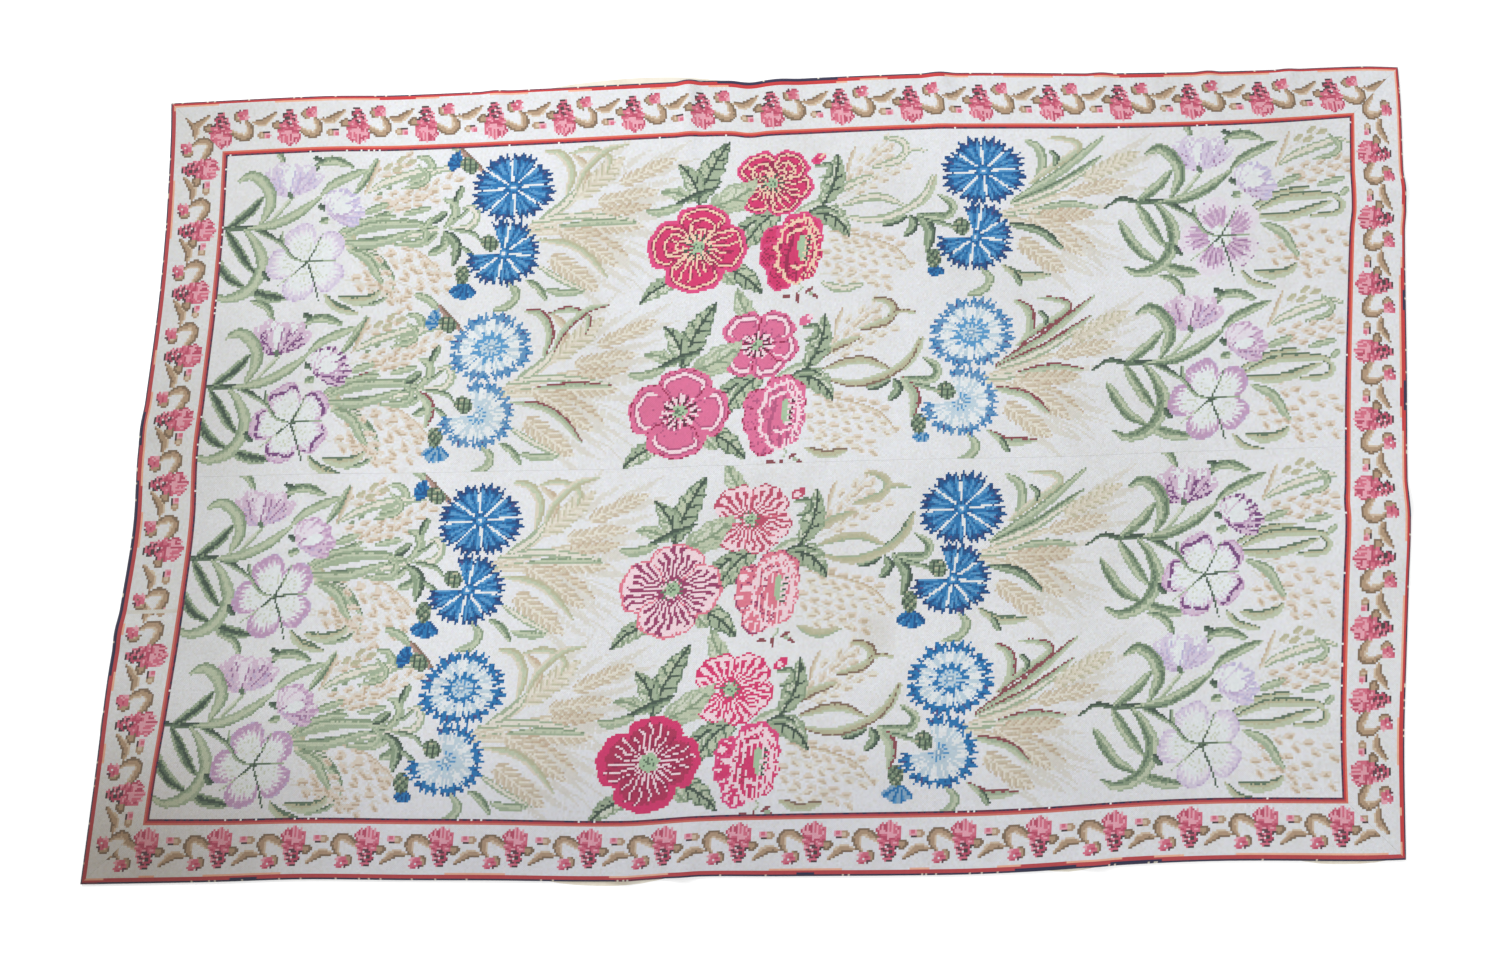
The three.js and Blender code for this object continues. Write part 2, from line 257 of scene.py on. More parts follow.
def cornflower(chart, centre, radius, style, turn=0.0, aspect=0.86, gap=None):
    """Eight toothed florets, parted by pale rays. gap leaves out florets between two shares of a turn."""
    part, r, angle = chart.round(centre, radius, aspect, turn)
    floret = (angle * CORNFLOWER_FLORETS) % 1 * 2 - 1
    wander = angle + 0.004 * np.sin(60 * angle) + 0.003 * ripple(angle, 5)
    tooth = teeth(wander, CORNFLOWER_FLORETS * TEETH_PER_FLORET)
    rim = 1.04 - 0.13 * np.abs(floret) ** 4 - 0.19 * tooth + 0.03 * ripple(angle, 3)
    u = r / rim
    inside = u < 1
    if gap:
        inside &= ~((angle > gap[0]) & (angle < gap[1]) & (r > 0.12))
    chance = chart.chance[part]
    numbers, paint = blank(r.shape, style["body"])
    petal = teeth(wander, CORNFLOWER_FLORETS * STREAKS_PER_FLORET) + 0.3 * (chance - 0.5)
    paint((petal < style["streak_share"] - 0.5 * np.abs(u - 0.55)) & (u > 0.3), style["streak"])
    paint((petal > 0.86) & (u > 0.4), style["deep"])
    paint((r < 0.25) & (r > 0.12) & (teeth(angle, 11) + 0.3 * chance > 0.75), style["heart"])
    point = 0.27 + 0.23 * teeth(angle, STAR_POINTS) + 0.06 * (chance - 0.5)
    paint((r > 0.25) & (r < point) & (chance > 0.1), style["star"])
    edge = style["rim_from"] + 0.14 * (1 - petal) + 0.06 * (chance - 0.5)
    paint(u > edge, style["rim"])
    paint((u > 0.9) & (tooth > 0.3) & (chance > 0.3), style["tip"])
    paint((u > 0.86) & (np.abs(floret) < 0.14) & (chance > 0.6), style["stray"])
    beside = (1 - np.abs(floret)) * math.pi / CORNFLOWER_FLORETS * r * radius
    paint((beside < 0.72) & (u > style["ray_from"]) & (u < 0.93), style["ray"])
    paint(r < 0.1, style["eye"])
    paint(r < 0.045, style["ray"])
    chart.lay(part, inside, numbers)


COCKLE_PETALS = 5
COCKLE_TURN = -0.005
# The sepals that show between its petals: how far their tips lie from its centre, and their shades
SEPALS = (
    {"right": 7, "down": -16, "shades": "stem"},
    {"right": 17, "down": -1, "shades": "stem"},
    {"right": 8, "down": 22, "shades": "vein_leaf"},
    {"right": -16, "down": 13, "shades": "stem_pale"},
)


def corncockle(chart, centre, radius, style):
    """Five rounded petals with a soft coloured rim, and thin dark lines between."""
    part, r, angle = chart.round(centre, radius, turn=COCKLE_TURN)
    petal = (angle * COCKLE_PETALS) % 1 * 2 - 1
    rim = 1 - 0.4 * np.abs(petal) ** 3.2 + 0.03 * ripple(angle, 7)
    u = r / rim
    chance = chart.chance[part]
    numbers, paint = blank(r.shape, style["body"])
    ray = teeth(angle + 0.004 * np.sin(17 * r), 40) + 0.5 * (chance - 0.5)
    paint((ray > 0.86) & (u > 0.15) & (u < 0.66), style["ray"])
    if style["stripes"]:
        stripe = teeth(angle + 0.005 * np.sin(11 * r), 25) + 0.25 * (chance - 0.5)
        middle = (u > 0.3) & (u < 0.9) & (np.abs(petal) < 0.75)
        paint((u > 0.3) & (u < 0.94) & (np.abs(petal) < 0.86), "mauve_soft")
        paint((stripe > 0.42) & middle, style["stripes"])
        paint((stripe > 0.8) & middle & (np.sin(2 * math.pi * angle) > 0), style["inked"])
    edge = style["rim_from"] - 0.2 * (ray - 0.5)
    paint(u > edge, style["soft"])
    paint(u > edge + style["soft_band"], style["rim"])
    paint((u > 0.95) & (chance < style["ink"]), style["inked"])
    if style["crescent"]:
        shell = np.abs(u - 0.85 + 0.05 * np.cos(5 * petal)) * rim * radius
        paint((shell < 0.95) & (np.abs(petal) < 0.78) & (chance > 0.12), style["crescent"])
    chart.lay(part, u < 1, numbers)
    x, y = centre
    for row in SEPALS:
        dx, dy = row["right"], row["down"]
        line = [(x, y), (x + 0.5 * dx + 0.6, y + 0.5 * dy), (x + dx, y + dy)]
        chart.stroke(line, 0.5, row["shades"], (0, 0.3))
        chart.stroke([(x, y), (x + 0.45 * dx + 0.5, y + 0.45 * dy)], 0.5, "vein_leaf", (0, 0))


# Petals seen from the side, back ones first: direction in degrees, clockwise from the right, and length
# and width in stitches
OPEN_PETALS = (
    {"toward": 206, "length": 20, "width": 8},
    {"toward": 328, "length": 21, "width": 8},
    {"toward": 228, "length": 20, "width": 10},
    {"toward": 306, "length": 21, "width": 11},
    {"toward": 249, "length": 20, "width": 12},
    {"toward": 278, "length": 18, "width": 11},
)
BUD_FOLDS = (
    {"toward": 286, "length": 13, "width": 8},
    {"toward": 20, "length": 19, "width": 7},
    {"toward": 310, "length": 17, "width": 10},
    {"toward": 0, "length": 21, "width": 9},
    {"toward": 335, "length": 19, "width": 11},
)


def side_petals(chart, root, petals, style, comb):
    """Petals seen from the side: shaded along their lower sides, pale in the middle, streaked lengthways."""
    root = np.array(root, float)
    for row in petals:
        part, x, y = chart.window(root - row["length"], root + row["length"])
        angle = math.radians(row["toward"])
        x, y = x - root[0], y - root[1]
        share = (x * math.cos(angle) + y * math.sin(angle)) / row["length"]
        off = y * math.cos(angle) - x * math.sin(angle)
        held = np.clip(share, 0, 1)
        half = row["width"] / 2 * (0.92 * np.sin(math.pi * held**1.5) ** 0.6 + 0.16 * (1 - held)) + 0.3
        across = off / half
        lower = across if math.cos(angle) > 0 else -across
        chance = chart.chance[part]
        numbers, paint = blank(x.shape, style["open"])
        line = teeth(off / 3.1 + 0.1 * np.sin(7 * held), 1) + 0.3 * (chance - 0.5)
        paint(lower > 0.1 + 0.5 * (chance - 0.5), style["tip"])
        paint((line > 0.72) & (share < 0.78) & (lower > -0.3), style["streak"])
        paint((share > 0.82) & (chance < 0.5), style["tip"])
        paint((np.abs(across) > 1 - 1.0 / half) & (chance < 0.8), style["frill"])
        if comb:
            paint((share > 0.76) & (line > 0.5), style["edge"])
        paint((lower > 0.62) & (share < 0.7) & (chance < style["ink"]), style["crescent"] or style["inked"])
        chart.lay(part, (share > 0) & (share < 1) & (np.abs(across) < 1), numbers)


def half_open(chart, base, style):
    """A lilac flower half open, in a fan above a small green base."""
    side_petals(chart, base, OPEN_PETALS, style, False)
    chart.oval(base, 4, 3, 60, "leaf_dark")


def ruffled_bud(chart, root, style):
    """A lilac flower just opening: toothed petals that lean to the right."""
    side_petals(chart, root, BUD_FOLDS, style, True)
    x, y = root
    chart.oval((x + 8, y - 1.5), 11, 5.4, -20, style["body"])
    chart.stroke([(x + 4, y + 1.4), (x + 9, y + 1.6), (x + 14, y - 1)], 0.7, style["crease"], (0, 0))


# Petals, back ones first: direction and half spread in turns, length in radii, whether looped, more rays
LARGE_PETALS = (
    {"toward": 0.765, "spread": 0.15, "length": 0.97, "loops": 1, "rays": -2},
    {"toward": 0.517, "spread": 0.14, "length": 1.03, "loops": 1, "rays": -1},
    {"toward": 0.2625, "spread": 0.15, "length": 1.04, "loops": 0, "rays": 3},
    {"toward": 0.01, "spread": 0.14, "length": 1.0, "loops": 0, "rays": 2},
)
SMALL_PETALS = (
    {"toward": 0.36, "spread": 0.11, "length": 0.94, "loops": 0, "rays": 1},
    {"toward": 0.17, "spread": 0.11, "length": 0.98, "loops": 0, "rays": 1},
    {"toward": 0.648, "spread": 0.135, "length": 1.0, "loops": 1, "rays": -1},
    {"toward": 0.03, "spread": 0.085, "length": 1.03, "loops": 0, "rays": -1},
    {"toward": 0.868, "spread": 0.115, "length": 1.05, "loops": 1, "rays": 0},
)


def anemone(chart, centre, radius, style, petals, aspect=0.9):
    """Broad overlapping petals round a pale green eye, veined by loops inside their rims and by rays."""
    part, r, angle = chart.round(centre, radius, aspect)
    chance = chart.chance[part]
    wavy = angle + 0.005 * np.sin(r * 19 + 2 * ripple(angle, 5))
    for row in petals:
        across = ((wavy - row["toward"] + 0.5) % 1 - 0.5) / row["spread"]
        edge = row["length"] * (1 - 0.3 * np.abs(across) ** 3 + 0.02 * np.cos(11 * across))
        u = r / edge
        inside = (u < 1) & (np.abs(across) < 1)
        numbers, paint = blank(r.shape, style["body"])
        paint((u < 0.6) & (chance < style["deep_share"]), style["deep"])
        paint(u > style["rim_from"] + 0.05 * chance, style["rim"])
        loop = (u**4 + np.abs(across) ** 4) ** 0.25
        grown = np.hypot(*np.gradient(loop)) + 1e-6
        rays = style["rays"] + row["rays"] * style["uneven"]
        breadth = row["spread"] * 4 * math.pi * r * radius / rays
        ray = across * rays / 2 + 0.14 * np.sin(9 * u + 7 * row["toward"])
        beside = np.abs(ray % 1 - 0.5) * breadth
        half = np.maximum(0.5, style["ray_share"] * breadth / 2)
        reach = style["ray_to"] + 0.1 * np.sin(5 * np.floor(ray) + 9 * row["toward"])
        rayed = (u > 0.2) & (u < reach)
        paint(rayed & (beside < half + style["shadow"]), style["deep"])
        paint(rayed & (beside < half), style["vein"])
        for level in style["loops"][: 9 if row["loops"] else 1]:
            away = np.abs(loop - level) / grown
            drawn = (u > 0.24) & (np.abs(across) < style["loop_share"])
            paint(drawn & (away < style["loop_width"] + style["shadow"]), style["deep"])
            paint(drawn & (away < style["loop_width"]), style["vein"])
        paint((u > 0.97 - 0.6 / radius) & (style["line"] > chance), style["outline"])
        side = (1 - np.abs(across)) * row["spread"] * 2 * math.pi * r * radius
        paint((side < 0.8) & (u > 0.2) & (chance > 0.1), style["between"])
        chart.lay(part, inside, numbers)
    burst = teeth(angle + 0.01 * ripple(angle, 3), 11) + 0.3 * (chance - 0.5)
    far = style["burst"]
    chart.lay(part, (r > 0.1) & (r < far) & (burst > 0.68), style["heart"])
    chart.lay(part, (r > 0.12) & (r < far + 0.06 * chance) & (burst < 0.25), style["vein"])
    chart.lay(part, r < style["eye"] + 0.06 * chance, "eye_green")
    chart.lay(part, (r < style["eye"] - 0.02) & (chance > 0.65), "leaf_dark")


# Parts of the anemone seen from the side, from its centre: place and half sizes in stitches
CUP_LOBES = (
    {"right": -11, "down": -4, "wide": 7, "tall": 9},
    {"right": -11.5, "down": 4, "wide": 6.5, "tall": 8},
    {"right": -6, "down": 14, "wide": 7.5, "tall": 9},
    {"right": 3, "down": -7, "wide": 12.5, "tall": 13},
)
CUP_BOWL = {"right": 3.5, "down": 1.5, "wide": 12, "tall": 17.5}
# Pale lines on the bowl: distance from its middle in radii, and where they start and end in turns
CUP_LINES = (
    {"level": 0.98, "start": 0.22, "end": 0.9},
    {"level": 0.7, "start": 0.56, "end": 1.0},
    {"level": 0.7, "start": 0.0, "end": 0.16},
    {"level": 0.52, "start": 0.12, "end": 0.36},
)


def cup_anemone(chart, centre, style):
    """An anemone turned to the side: outer petals, a bowl and an oval green eye."""
    centre = np.array(centre)
    part, x, y = chart.window(centre - 24, centre + 26)
    x, y = x - centre[0], y - centre[1]
    chance = chart.chance[part]

    def shape(row):
        right, down = x - row["right"], y - row["down"]
        wavy = 1 + 0.05 * ripple(np.arctan2(down, right) / (2 * math.pi), 8)
        return np.hypot(right / row["wide"], down / row["tall"]) / wavy

    across, down = x - CUP_BOWL["right"], (y - CUP_BOWL["down"]) / 1.45
    angle = np.arctan2(down, across) / (2 * math.pi) % 1
    striped = teeth(angle + 0.006 * np.sin(y), 31) + 0.12 * (chance - 0.5) > 0.6
    for row in CUP_LOBES:
        u = shape(row)
        chart.lay(part, u < 1, style["rim"])
        chart.lay(part, (u < 0.84) & (chance > 0.08), style["body"])
        marked = striped & (u > 0.3) if style["ray_share"] else (chance < 0.22) & (x < -4)
        chart.lay(part, (u < 0.84) & marked, style["vein"] if style["ray_share"] else style["deep"])
        chart.lay(part, (u < 1) & (u > 1 - 1.1 / row["wide"]) & (chance < style["line"]), style["outline"])
    u = shape(CUP_BOWL)
    chart.lay(part, u < 1, style["body"])
    gap, fold = (2.9, style["vein"]) if style["ray_share"] else (4.6, style["deep"])
    folds = teeth((across + 2.5 * u * u + 1.2 * np.sin(y / 4)) / gap, 1) + 0.15 * (chance - 0.5)
    chart.lay(part, (u < 0.94) & (u > 0.35) & (folds > 0.66), fold)
    chart.lay(part, (u < 0.9) & (u > 0.5) & (across < 0) & (chance < 0.2), style["deep"])
    chart.lay(part, (u < 0.96) & (u > 0.74) & striped & (across > 0), style["vein"])
    grown = np.hypot(*np.gradient(u)) + 1e-6
    for row in CUP_LINES:
        near = np.abs(u - row["level"] + 0.03 * ripple(angle, 11)) / grown < 0.75
        chart.lay(part, near & (angle > row["start"]) & (angle < row["end"]), style["vein"])
    fringe = (teeth(angle, 25) > 0.66) & (u > 0.96) & (u < 1.13) & (angle > 0.36) & (angle < 0.78)
    chart.lay(part, fringe, style["vein"])
    x, y = centre
    chart.oval((x + 5, y), 14.5, 5.2, 84, "eye_green")
    for k in range(5):
        spot = (x + 8.4 - 0.3 * k, y - 6 + 3 * k)
        chart.oval(spot, 4.6, 2.4, 8, style["vein"])
        chart.oval(spot, 2.6, 1.2, 8, style["heart"])


# Ears, panicles and buds
EARS = {
    "straw": {"dark": "tan_soft", "grain": "wheat", "husk": "straw_pale"},
    "tan": {"dark": "tan", "grain": "wheat", "husk": "straw"},
    "green": {"dark": "olive_soft", "grain": "straw_pale", "husk": "straw"},
}
AWN_LENGTH = 12
AWN_STEP = 3.4
GRAIN_LENGTH = 4.4


def ear(chart, start, end, style, width):
    """A wheat ear: two ranks of slanted grains, with fine awns that run on past its tip."""
    start, end = np.array(start, float), np.array(end, float)
    length = np.linalg.norm(end - start)
    ahead = (end - start) / length
    beside = np.array([-ahead[1], ahead[0]])
    for k in range(5, int(length / AWN_STEP) + 3):
        for rank in (-1, 1):
            root = start + ahead * (AWN_STEP * k - 6) + beside * rank * 0.3 * width
            tip = root + ahead * AWN_LENGTH + beside * rank * (0.28 * AWN_LENGTH)
            chart.stroke([root, tip], 0.28, "awn", tips=(0, 0))
    part, x, y = chart.window(np.minimum(start, end) - width, np.maximum(start, end) + width)
    if not x.size:
        return
    along = (x - start[0]) * ahead[0] + (y - start[1]) * ahead[1]
    off = (x - start[0]) * beside[0] + (y - start[1]) * beside[1]
    share = along / length
    phase = ((along - 1.1 * np.abs(off)) / GRAIN_LENGTH + 0.5 * (off > 0)) % 1
    bow = np.clip(np.minimum(share * 5 + 0.35, (1 - share) * 3), 0, 1) ** 0.7
    edge = width / 2 * bow * (0.72 + 0.4 * phase)
    inside = (np.abs(off) < edge) & (share > 0) & (share < 1)
    dark, grain, husk = (YARN[EARS[style][part]] for part in ("dark", "grain", "husk"))
    numbers = np.where(phase < 0.3, husk, np.where(phase < 0.72, grain, dark))
    numbers[(np.abs(off) > edge - 0.9) & (phase > 0.5)] = dark
    numbers[np.abs(off) < 0.5] = husk
    chart.lay(part, inside, numbers)


def oats(chart, start, end, grains, spread=3.4, yarn="peach_tan", dark="tan"):
    """Oat grains that hang on both sides of a fine stem."""
    start, end = np.array(start, float), np.array(end, float)
    ahead = (end - start) / np.linalg.norm(end - start)
    beside = np.array([-ahead[1], ahead[0]])
    turn = math.degrees(math.atan2(ahead[1], ahead[0]))
    chart.stroke([start - 6 * ahead, start, end], 0.3, "awn", tips=(0, 0))
    for k in range(grains):
        rank = 1 if k % 2 else -1
        wobble = math.sin(2.3 * k + start[0])
        spot = start + (end - start) * (k + 0.5) / grains + beside * rank * spread * (0.75 + 0.25 * wobble)
        way = turn + 16 * rank + 10 * wobble
        chart.oval(spot, 6, 3, way, yarn)
        chart.oval(spot + (0.3, 0.6), 4.2, 1.3, way, dark)


def thistle(chart, centre, length, width, turn):
    """A scaly green calyx, crossed with dark lines."""
    part, x, y = chart.window(np.array(centre) - length, np.array(centre) + length)
    angle = math.radians(turn)
    along = (x - centre[0]) * math.cos(angle) + (y - centre[1]) * math.sin(angle)
    across = (y - centre[1]) * math.cos(angle) - (x - centre[0]) * math.sin(angle)
    inside = np.hypot(along / (length / 2), across / (width / 2)) < 1
    chart.lay(part, inside, "leaf")
    chart.lay(part, inside & ((along + across + 1) % 4 < 1.4), "olive")
    chart.lay(part, inside & ((along + across) % 4 > 2.2), "leaf_dark")
    chart.lay(part, inside & ((along - across) % 4 < 1.3), "leaf_black")


def tuft(chart, root, direction, length, style):
    """A small brush of florets out of a bud."""
    for k in range(-3, 4):
        angle = math.radians(direction + 17 * k)
        tip = (root[0] + length * math.cos(angle), root[1] + length * math.sin(angle))
        yarn = "tuft_deep" if k % 2 else "tuft"
        chart.stroke([root, tip], 2.4, style + "_" + yarn, tips=(0.3, 0.1))


# The yarns of a broad leaf
LEAF_STYLES = {
    "pale": {"light": "leaf_wash", "body": "leaf_pale", "shade": "leaf_soft", "dark": "leaf"},
    "mid": {"light": "leaf_wash", "body": "leaf_soft", "shade": "leaf", "dark": "leaf_black"},
    "deep": {"light": "leaf_pale", "body": "leaf_soft", "shade": "leaf_dark", "dark": "leaf_black"},
}


def veined_leaf(chart, root, tip, width, style="mid", bend=0.12, veins=5):
    """A broad toothed leaf with a dark midrib and slanted veins."""
    root, tip = np.array(root, float), np.array(tip, float)
    length = np.linalg.norm(tip - root)
    ahead = (tip - root) / length
    beside = np.array([-ahead[1], ahead[0]])
    middle = (root + tip) / 2 + beside * bend * length
    line, way = curve([root, middle, tip])
    part, x, y = chart.window(line.min(0) - width, line.max(0) + width)
    if not x.size:
        return
    along = ((x - root[0]) * ahead[0] + (y - root[1]) * ahead[1]) / length
    off = (x - root[0]) * beside[0] + (y - root[1]) * beside[1]
    off = off - 4 * bend * length * along * (1 - along)
    bow = np.sin(math.pi * np.clip(along, 0, 1) ** 0.8) ** 0.8
    edge = width / 2 * bow * (1 - 0.22 * teeth(along, veins))
    inside = (np.abs(off) < edge) & (along > 0) & (along < 1)
    yarns = LEAF_STYLES[style]
    light, body, shade, dark = (YARN[yarns[part]] for part in ("light", "body", "shade", "dark"))
    chance = chart.chance[part]
    numbers = np.full(x.shape, body)
    numbers[(off < 0) & (chance > 0.35)] = light
    slant = (along * veins - np.abs(off) / width * 1.6) % 1
    numbers[slant < 0.2] = shade
    numbers[(slant < 0.2) & (off > 0) & (np.abs(off) < 0.6 * edge)] = dark
    numbers[(np.abs(off) > edge - 1.2) & (chance > 0.4)] = shade
    numbers[np.abs(off) < 0.7] = dark
    chart.lay(part, inside, numbers)


# One row of the field's pattern, drawn in the first row's places. Left and right are the same plants.
def corncockle_group(chart, look):
    """The lilac flowers with their ring of strap leaves, and the grasses on their right."""
    leaf = chart.stroke
    oats(chart, (606, 61), (640, 53), 8, 2.6)
    oats(chart, (612, 66), (641, 58), 6, 2.4)
    oats(chart, (604, 88), (642, 101), 8, 3.2)
    oats(chart, (600, 96), (622, 112), 6, 3)
    oats(chart, (612, 102), (641, 114), 6, 3)
    oats(chart, (596, 103), (626, 119), 7, 3)
    oats(chart, (612, 44), (626, 36), 4, 2.6, "olive", "olive_soft")
    leaf([(600, 57), (604, 48), (608, 37)], 1.6, "tan_leaf")
    leaf([(601, 56), (612, 50), (632, 44), (640, 45)], 4.4, "blade")
    leaf([(628, 40), (634, 46), (632, 51), (620, 54)], 2.6, "leaf_soft")
    leaf([(622, 68), (637, 65)], 3, "leaf_soft")
    leaf([(600, 67), (614, 62)], 3.6, "leaf_soft")
    leaf([(586, 79), (600, 72), (618, 69)], 3.4, look["loop"])
    leaf([(588, 81), (606, 74), (630, 74), (634, 77)], 4, look["loop"])
    leaf([(588, 83), (608, 84), (630, 77)], 4.6, look["loop"])
    leaf([(618, 85), (632, 84), (635, 79), (630, 75)], 3, look["loop"])
    leaf([(634, 75), (639, 70)], 2.4, "leaf_soft")
    leaf([(592, 87), (604, 93), (610, 102), (614, 107)], 4.4, "leaf_soft")
    leaf([(590, 114), (600, 116), (609, 114), (613, 110)], 4.6, "gold")
    leaf([(583, 113), (590, 120), (602, 123)], 3, "gold")
    leaf([(508, 77), (517, 71.5), (525, 73), (541, 74), (552, 80), (561, 87)], 2.2, "stem_dark")
    leaf([(562, 56), (556, 63), (549, 71)], 2, "stem_pale")
    leaf([(545, 56), (537, 65), (526, 73)], 5, look["back"])
    leaf([(537, 74), (552, 72), (565, 66), (577, 57)], 5, look["ring"], side=-1)
    leaf([(576, 57), (584, 50), (602, 42)], 4.4, look["ring"])
    leaf([(525, 74), (537, 92), (543, 99)], 5, look["back"])
    leaf([(516, 83), (528, 100), (539, 107)], 5, look["back"], side=-1)
    leaf([(540, 108), (550, 112), (562, 114)], 5.6, look["back"])
    leaf([(520, 109), (529, 113), (541, 108), (547, 95), (542, 82), (535, 74)], 6.2, look["ring"])
    leaf([(547, 98), (552, 104)], 3, "stem_dark")
    leaf([(561, 88), (557, 82), (556, 76)], 1.6, "stem")
    leaf([(570, 45), (575, 40)], 1.6, "stem_dark")
    leaf([(572, 40), (582, 37), (594, 41)], 4.4, "leaf")
    leaf([(553, 32), (556, 42), (558, 50)], 1.8, "tan_leaf")
    leaf([(571, 35), (577, 37)], 2.4, "stem_dark")
    leaf([(541, 26), (551, 30), (556, 39)], 3.4, "leaf")
    half_open(chart, (559.5, 56), look)
    leaf([(530, 47), (538, 44), (546, 50), (549, 60), (544, 72)], 6.2, look["ring"])
    leaf([(575, 62), (580, 65)], 2.6, "stem_dark")
    leaf([(576, 72), (582, 70)], 3.4, "leaf")
    ruffled_bud(chart, (580.5, 66.5), look)
    corncockle(chart, (571.5, 94), 22, look)
    leaf([(541, 75), (556, 83), (563, 91), (571, 94)], 1.5, "stem")


def oat_spray(chart, look):
    """Curling leaves that start right of the left corncockle, with oats above and below them."""
    leaf = chart.stroke
    oats(chart, (114, 46), (134, 36), 7, 3)
    oats(chart, (124, 64), (160, 46), 10, 3.6)
    oats(chart, (121, 90), (157, 114), 9, 3)
    oats(chart, (130, 87), (157, 105), 7, 2.2)
    oats(chart, (104, 105), (124, 110), 6, 3)
    oats(chart, (112, 108), (139, 118), 8, 3)
    for x, y in ((113, 52), (116, 56), (121, 53), (127, 48)):
        chart.oval((x, y), 3.6, 2, -30, "leaf")
    leaf([(118, 83), (138, 89), (156, 104)], 1, "twig_pale")
    leaf([(114, 36), (109, 46), (102, 57)], 3.6, "leaf")
    leaf([(130, 51), (140, 47), (144, 42), (141, 37), (135, 36)], 4, "leaf_soft", side=-1)
    leaf([(138, 49), (148, 44), (158, 43)], 3.2, "blade")
    leaf([(98, 80), (110, 73), (124, 65)], 4.2, look["grass"])
    leaf([(98, 80), (115, 75), (132, 73), (150, 77)], 4.4, "leaf_soft")
    leaf([(100, 83), (118, 82), (136, 79), (148, 76)], 3.4, "leaf")
    leaf([(124, 82), (138, 80), (150, 77)], 3, "blade")
    leaf([(98, 84), (112, 84), (126, 82)], 3.4, "gold")
    leaf([(130, 85), (142, 84), (149, 79)], 4, "leaf")
    leaf([(144, 91), (152, 87), (152, 80)], 4.4, "leaf")
    leaf([(100, 86), (112, 89), (120, 96), (127, 104)], 4.6, "leaf")
    leaf([(100, 113), (108, 118), (119, 117), (126, 111), (127, 104)], 1.8, "stem")
    leaf([(90, 112), (95, 118), (107, 122)], 4, "gold")
    leaf([(97, 76), (101, 82), (102, 88)], 6, "olive")


def left_node(chart, look):
    """The knot of hooked leaves left of the first cornflower."""
    leaf = chart.stroke
    leaf([(152, 77), (158, 70), (157, 63), (151, 60)], 4.4, "leaf_soft")
    leaf([(145, 73), (149, 71), (154, 67)], 4, "leaf_strong", side=-1)
    leaf([(158, 63), (160, 58), (162, 53)], 3.6, "leaf_strong")
    leaf([(155, 77), (165, 77), (170, 72), (168, 66), (162, 66)], 4, "blade")
    leaf([(157, 72), (162, 70), (166, 66)], 1.6, "stem")
    leaf([(152, 78), (160, 86), (159, 98)], 5, look["knot"])
    leaf([(155, 77), (168, 80), (173, 85)], 2, "stem")
    leaf([(162, 87), (168, 91), (171, 94)], 2, "stem")


def right_node(chart, look):
    """The same knot left of the second cornflower, with other leaves."""
    leaf = chart.stroke
    leaf([(402, 76), (412, 70), (419, 57)], 4.4, "gold")
    leaf([(403, 79), (397, 82), (390, 84)], 3.6, "leaf_strong")
    leaf([(404, 79), (407, 85), (402, 91)], 4.4, "leaf_strong")
    leaf([(408, 78), (416, 88), (415, 100)], 5.4, look["strap"])
    leaf([(409, 79), (424, 80), (427, 74), (419, 68)], 4, "leaf")
    leaf([(414, 82), (428, 86), (434, 90)], 1.8, "stem")


def cornflowers(chart, look):
    """A whole cornflower, a half one below it and their buds. Places are those of the first one."""
    leaf = chart.stroke
    if look["top_bud"]:
        leaf([(145, 25), (153, 28), (160, 34)], 4, "leaf_soft")
        leaf([(159, 31), (165, 38), (174, 47)], 2.8, "twig")
        tuft(chart, (160.5, 40.5), 200, 7.5, look["tuft"])
        thistle(chart, (165, 42), 11, 8, 40)
    leaf([(190, 108), (195, 115), (191, 121), (183, 123)], 4, "leaf_soft")
    tuft(chart, (166, 107.5), 96, look["low_bud"], look["tuft"])
    thistle(chart, (164.5, 103), 11, 8, 85)
    lower = look["blue"] | {"star": look["blue"]["low_star"]}
    cornflower(chart, (186, 92), 20.5, lower, turn=0.02, aspect=0.92, gap=(0.485, 0.67))
    thistle(chart, (178, 86), 10.5, 8.5, 40)
    cornflower(chart, (189.5, 55.5), 23.2, look["blue"], turn=-0.014, aspect=0.83)


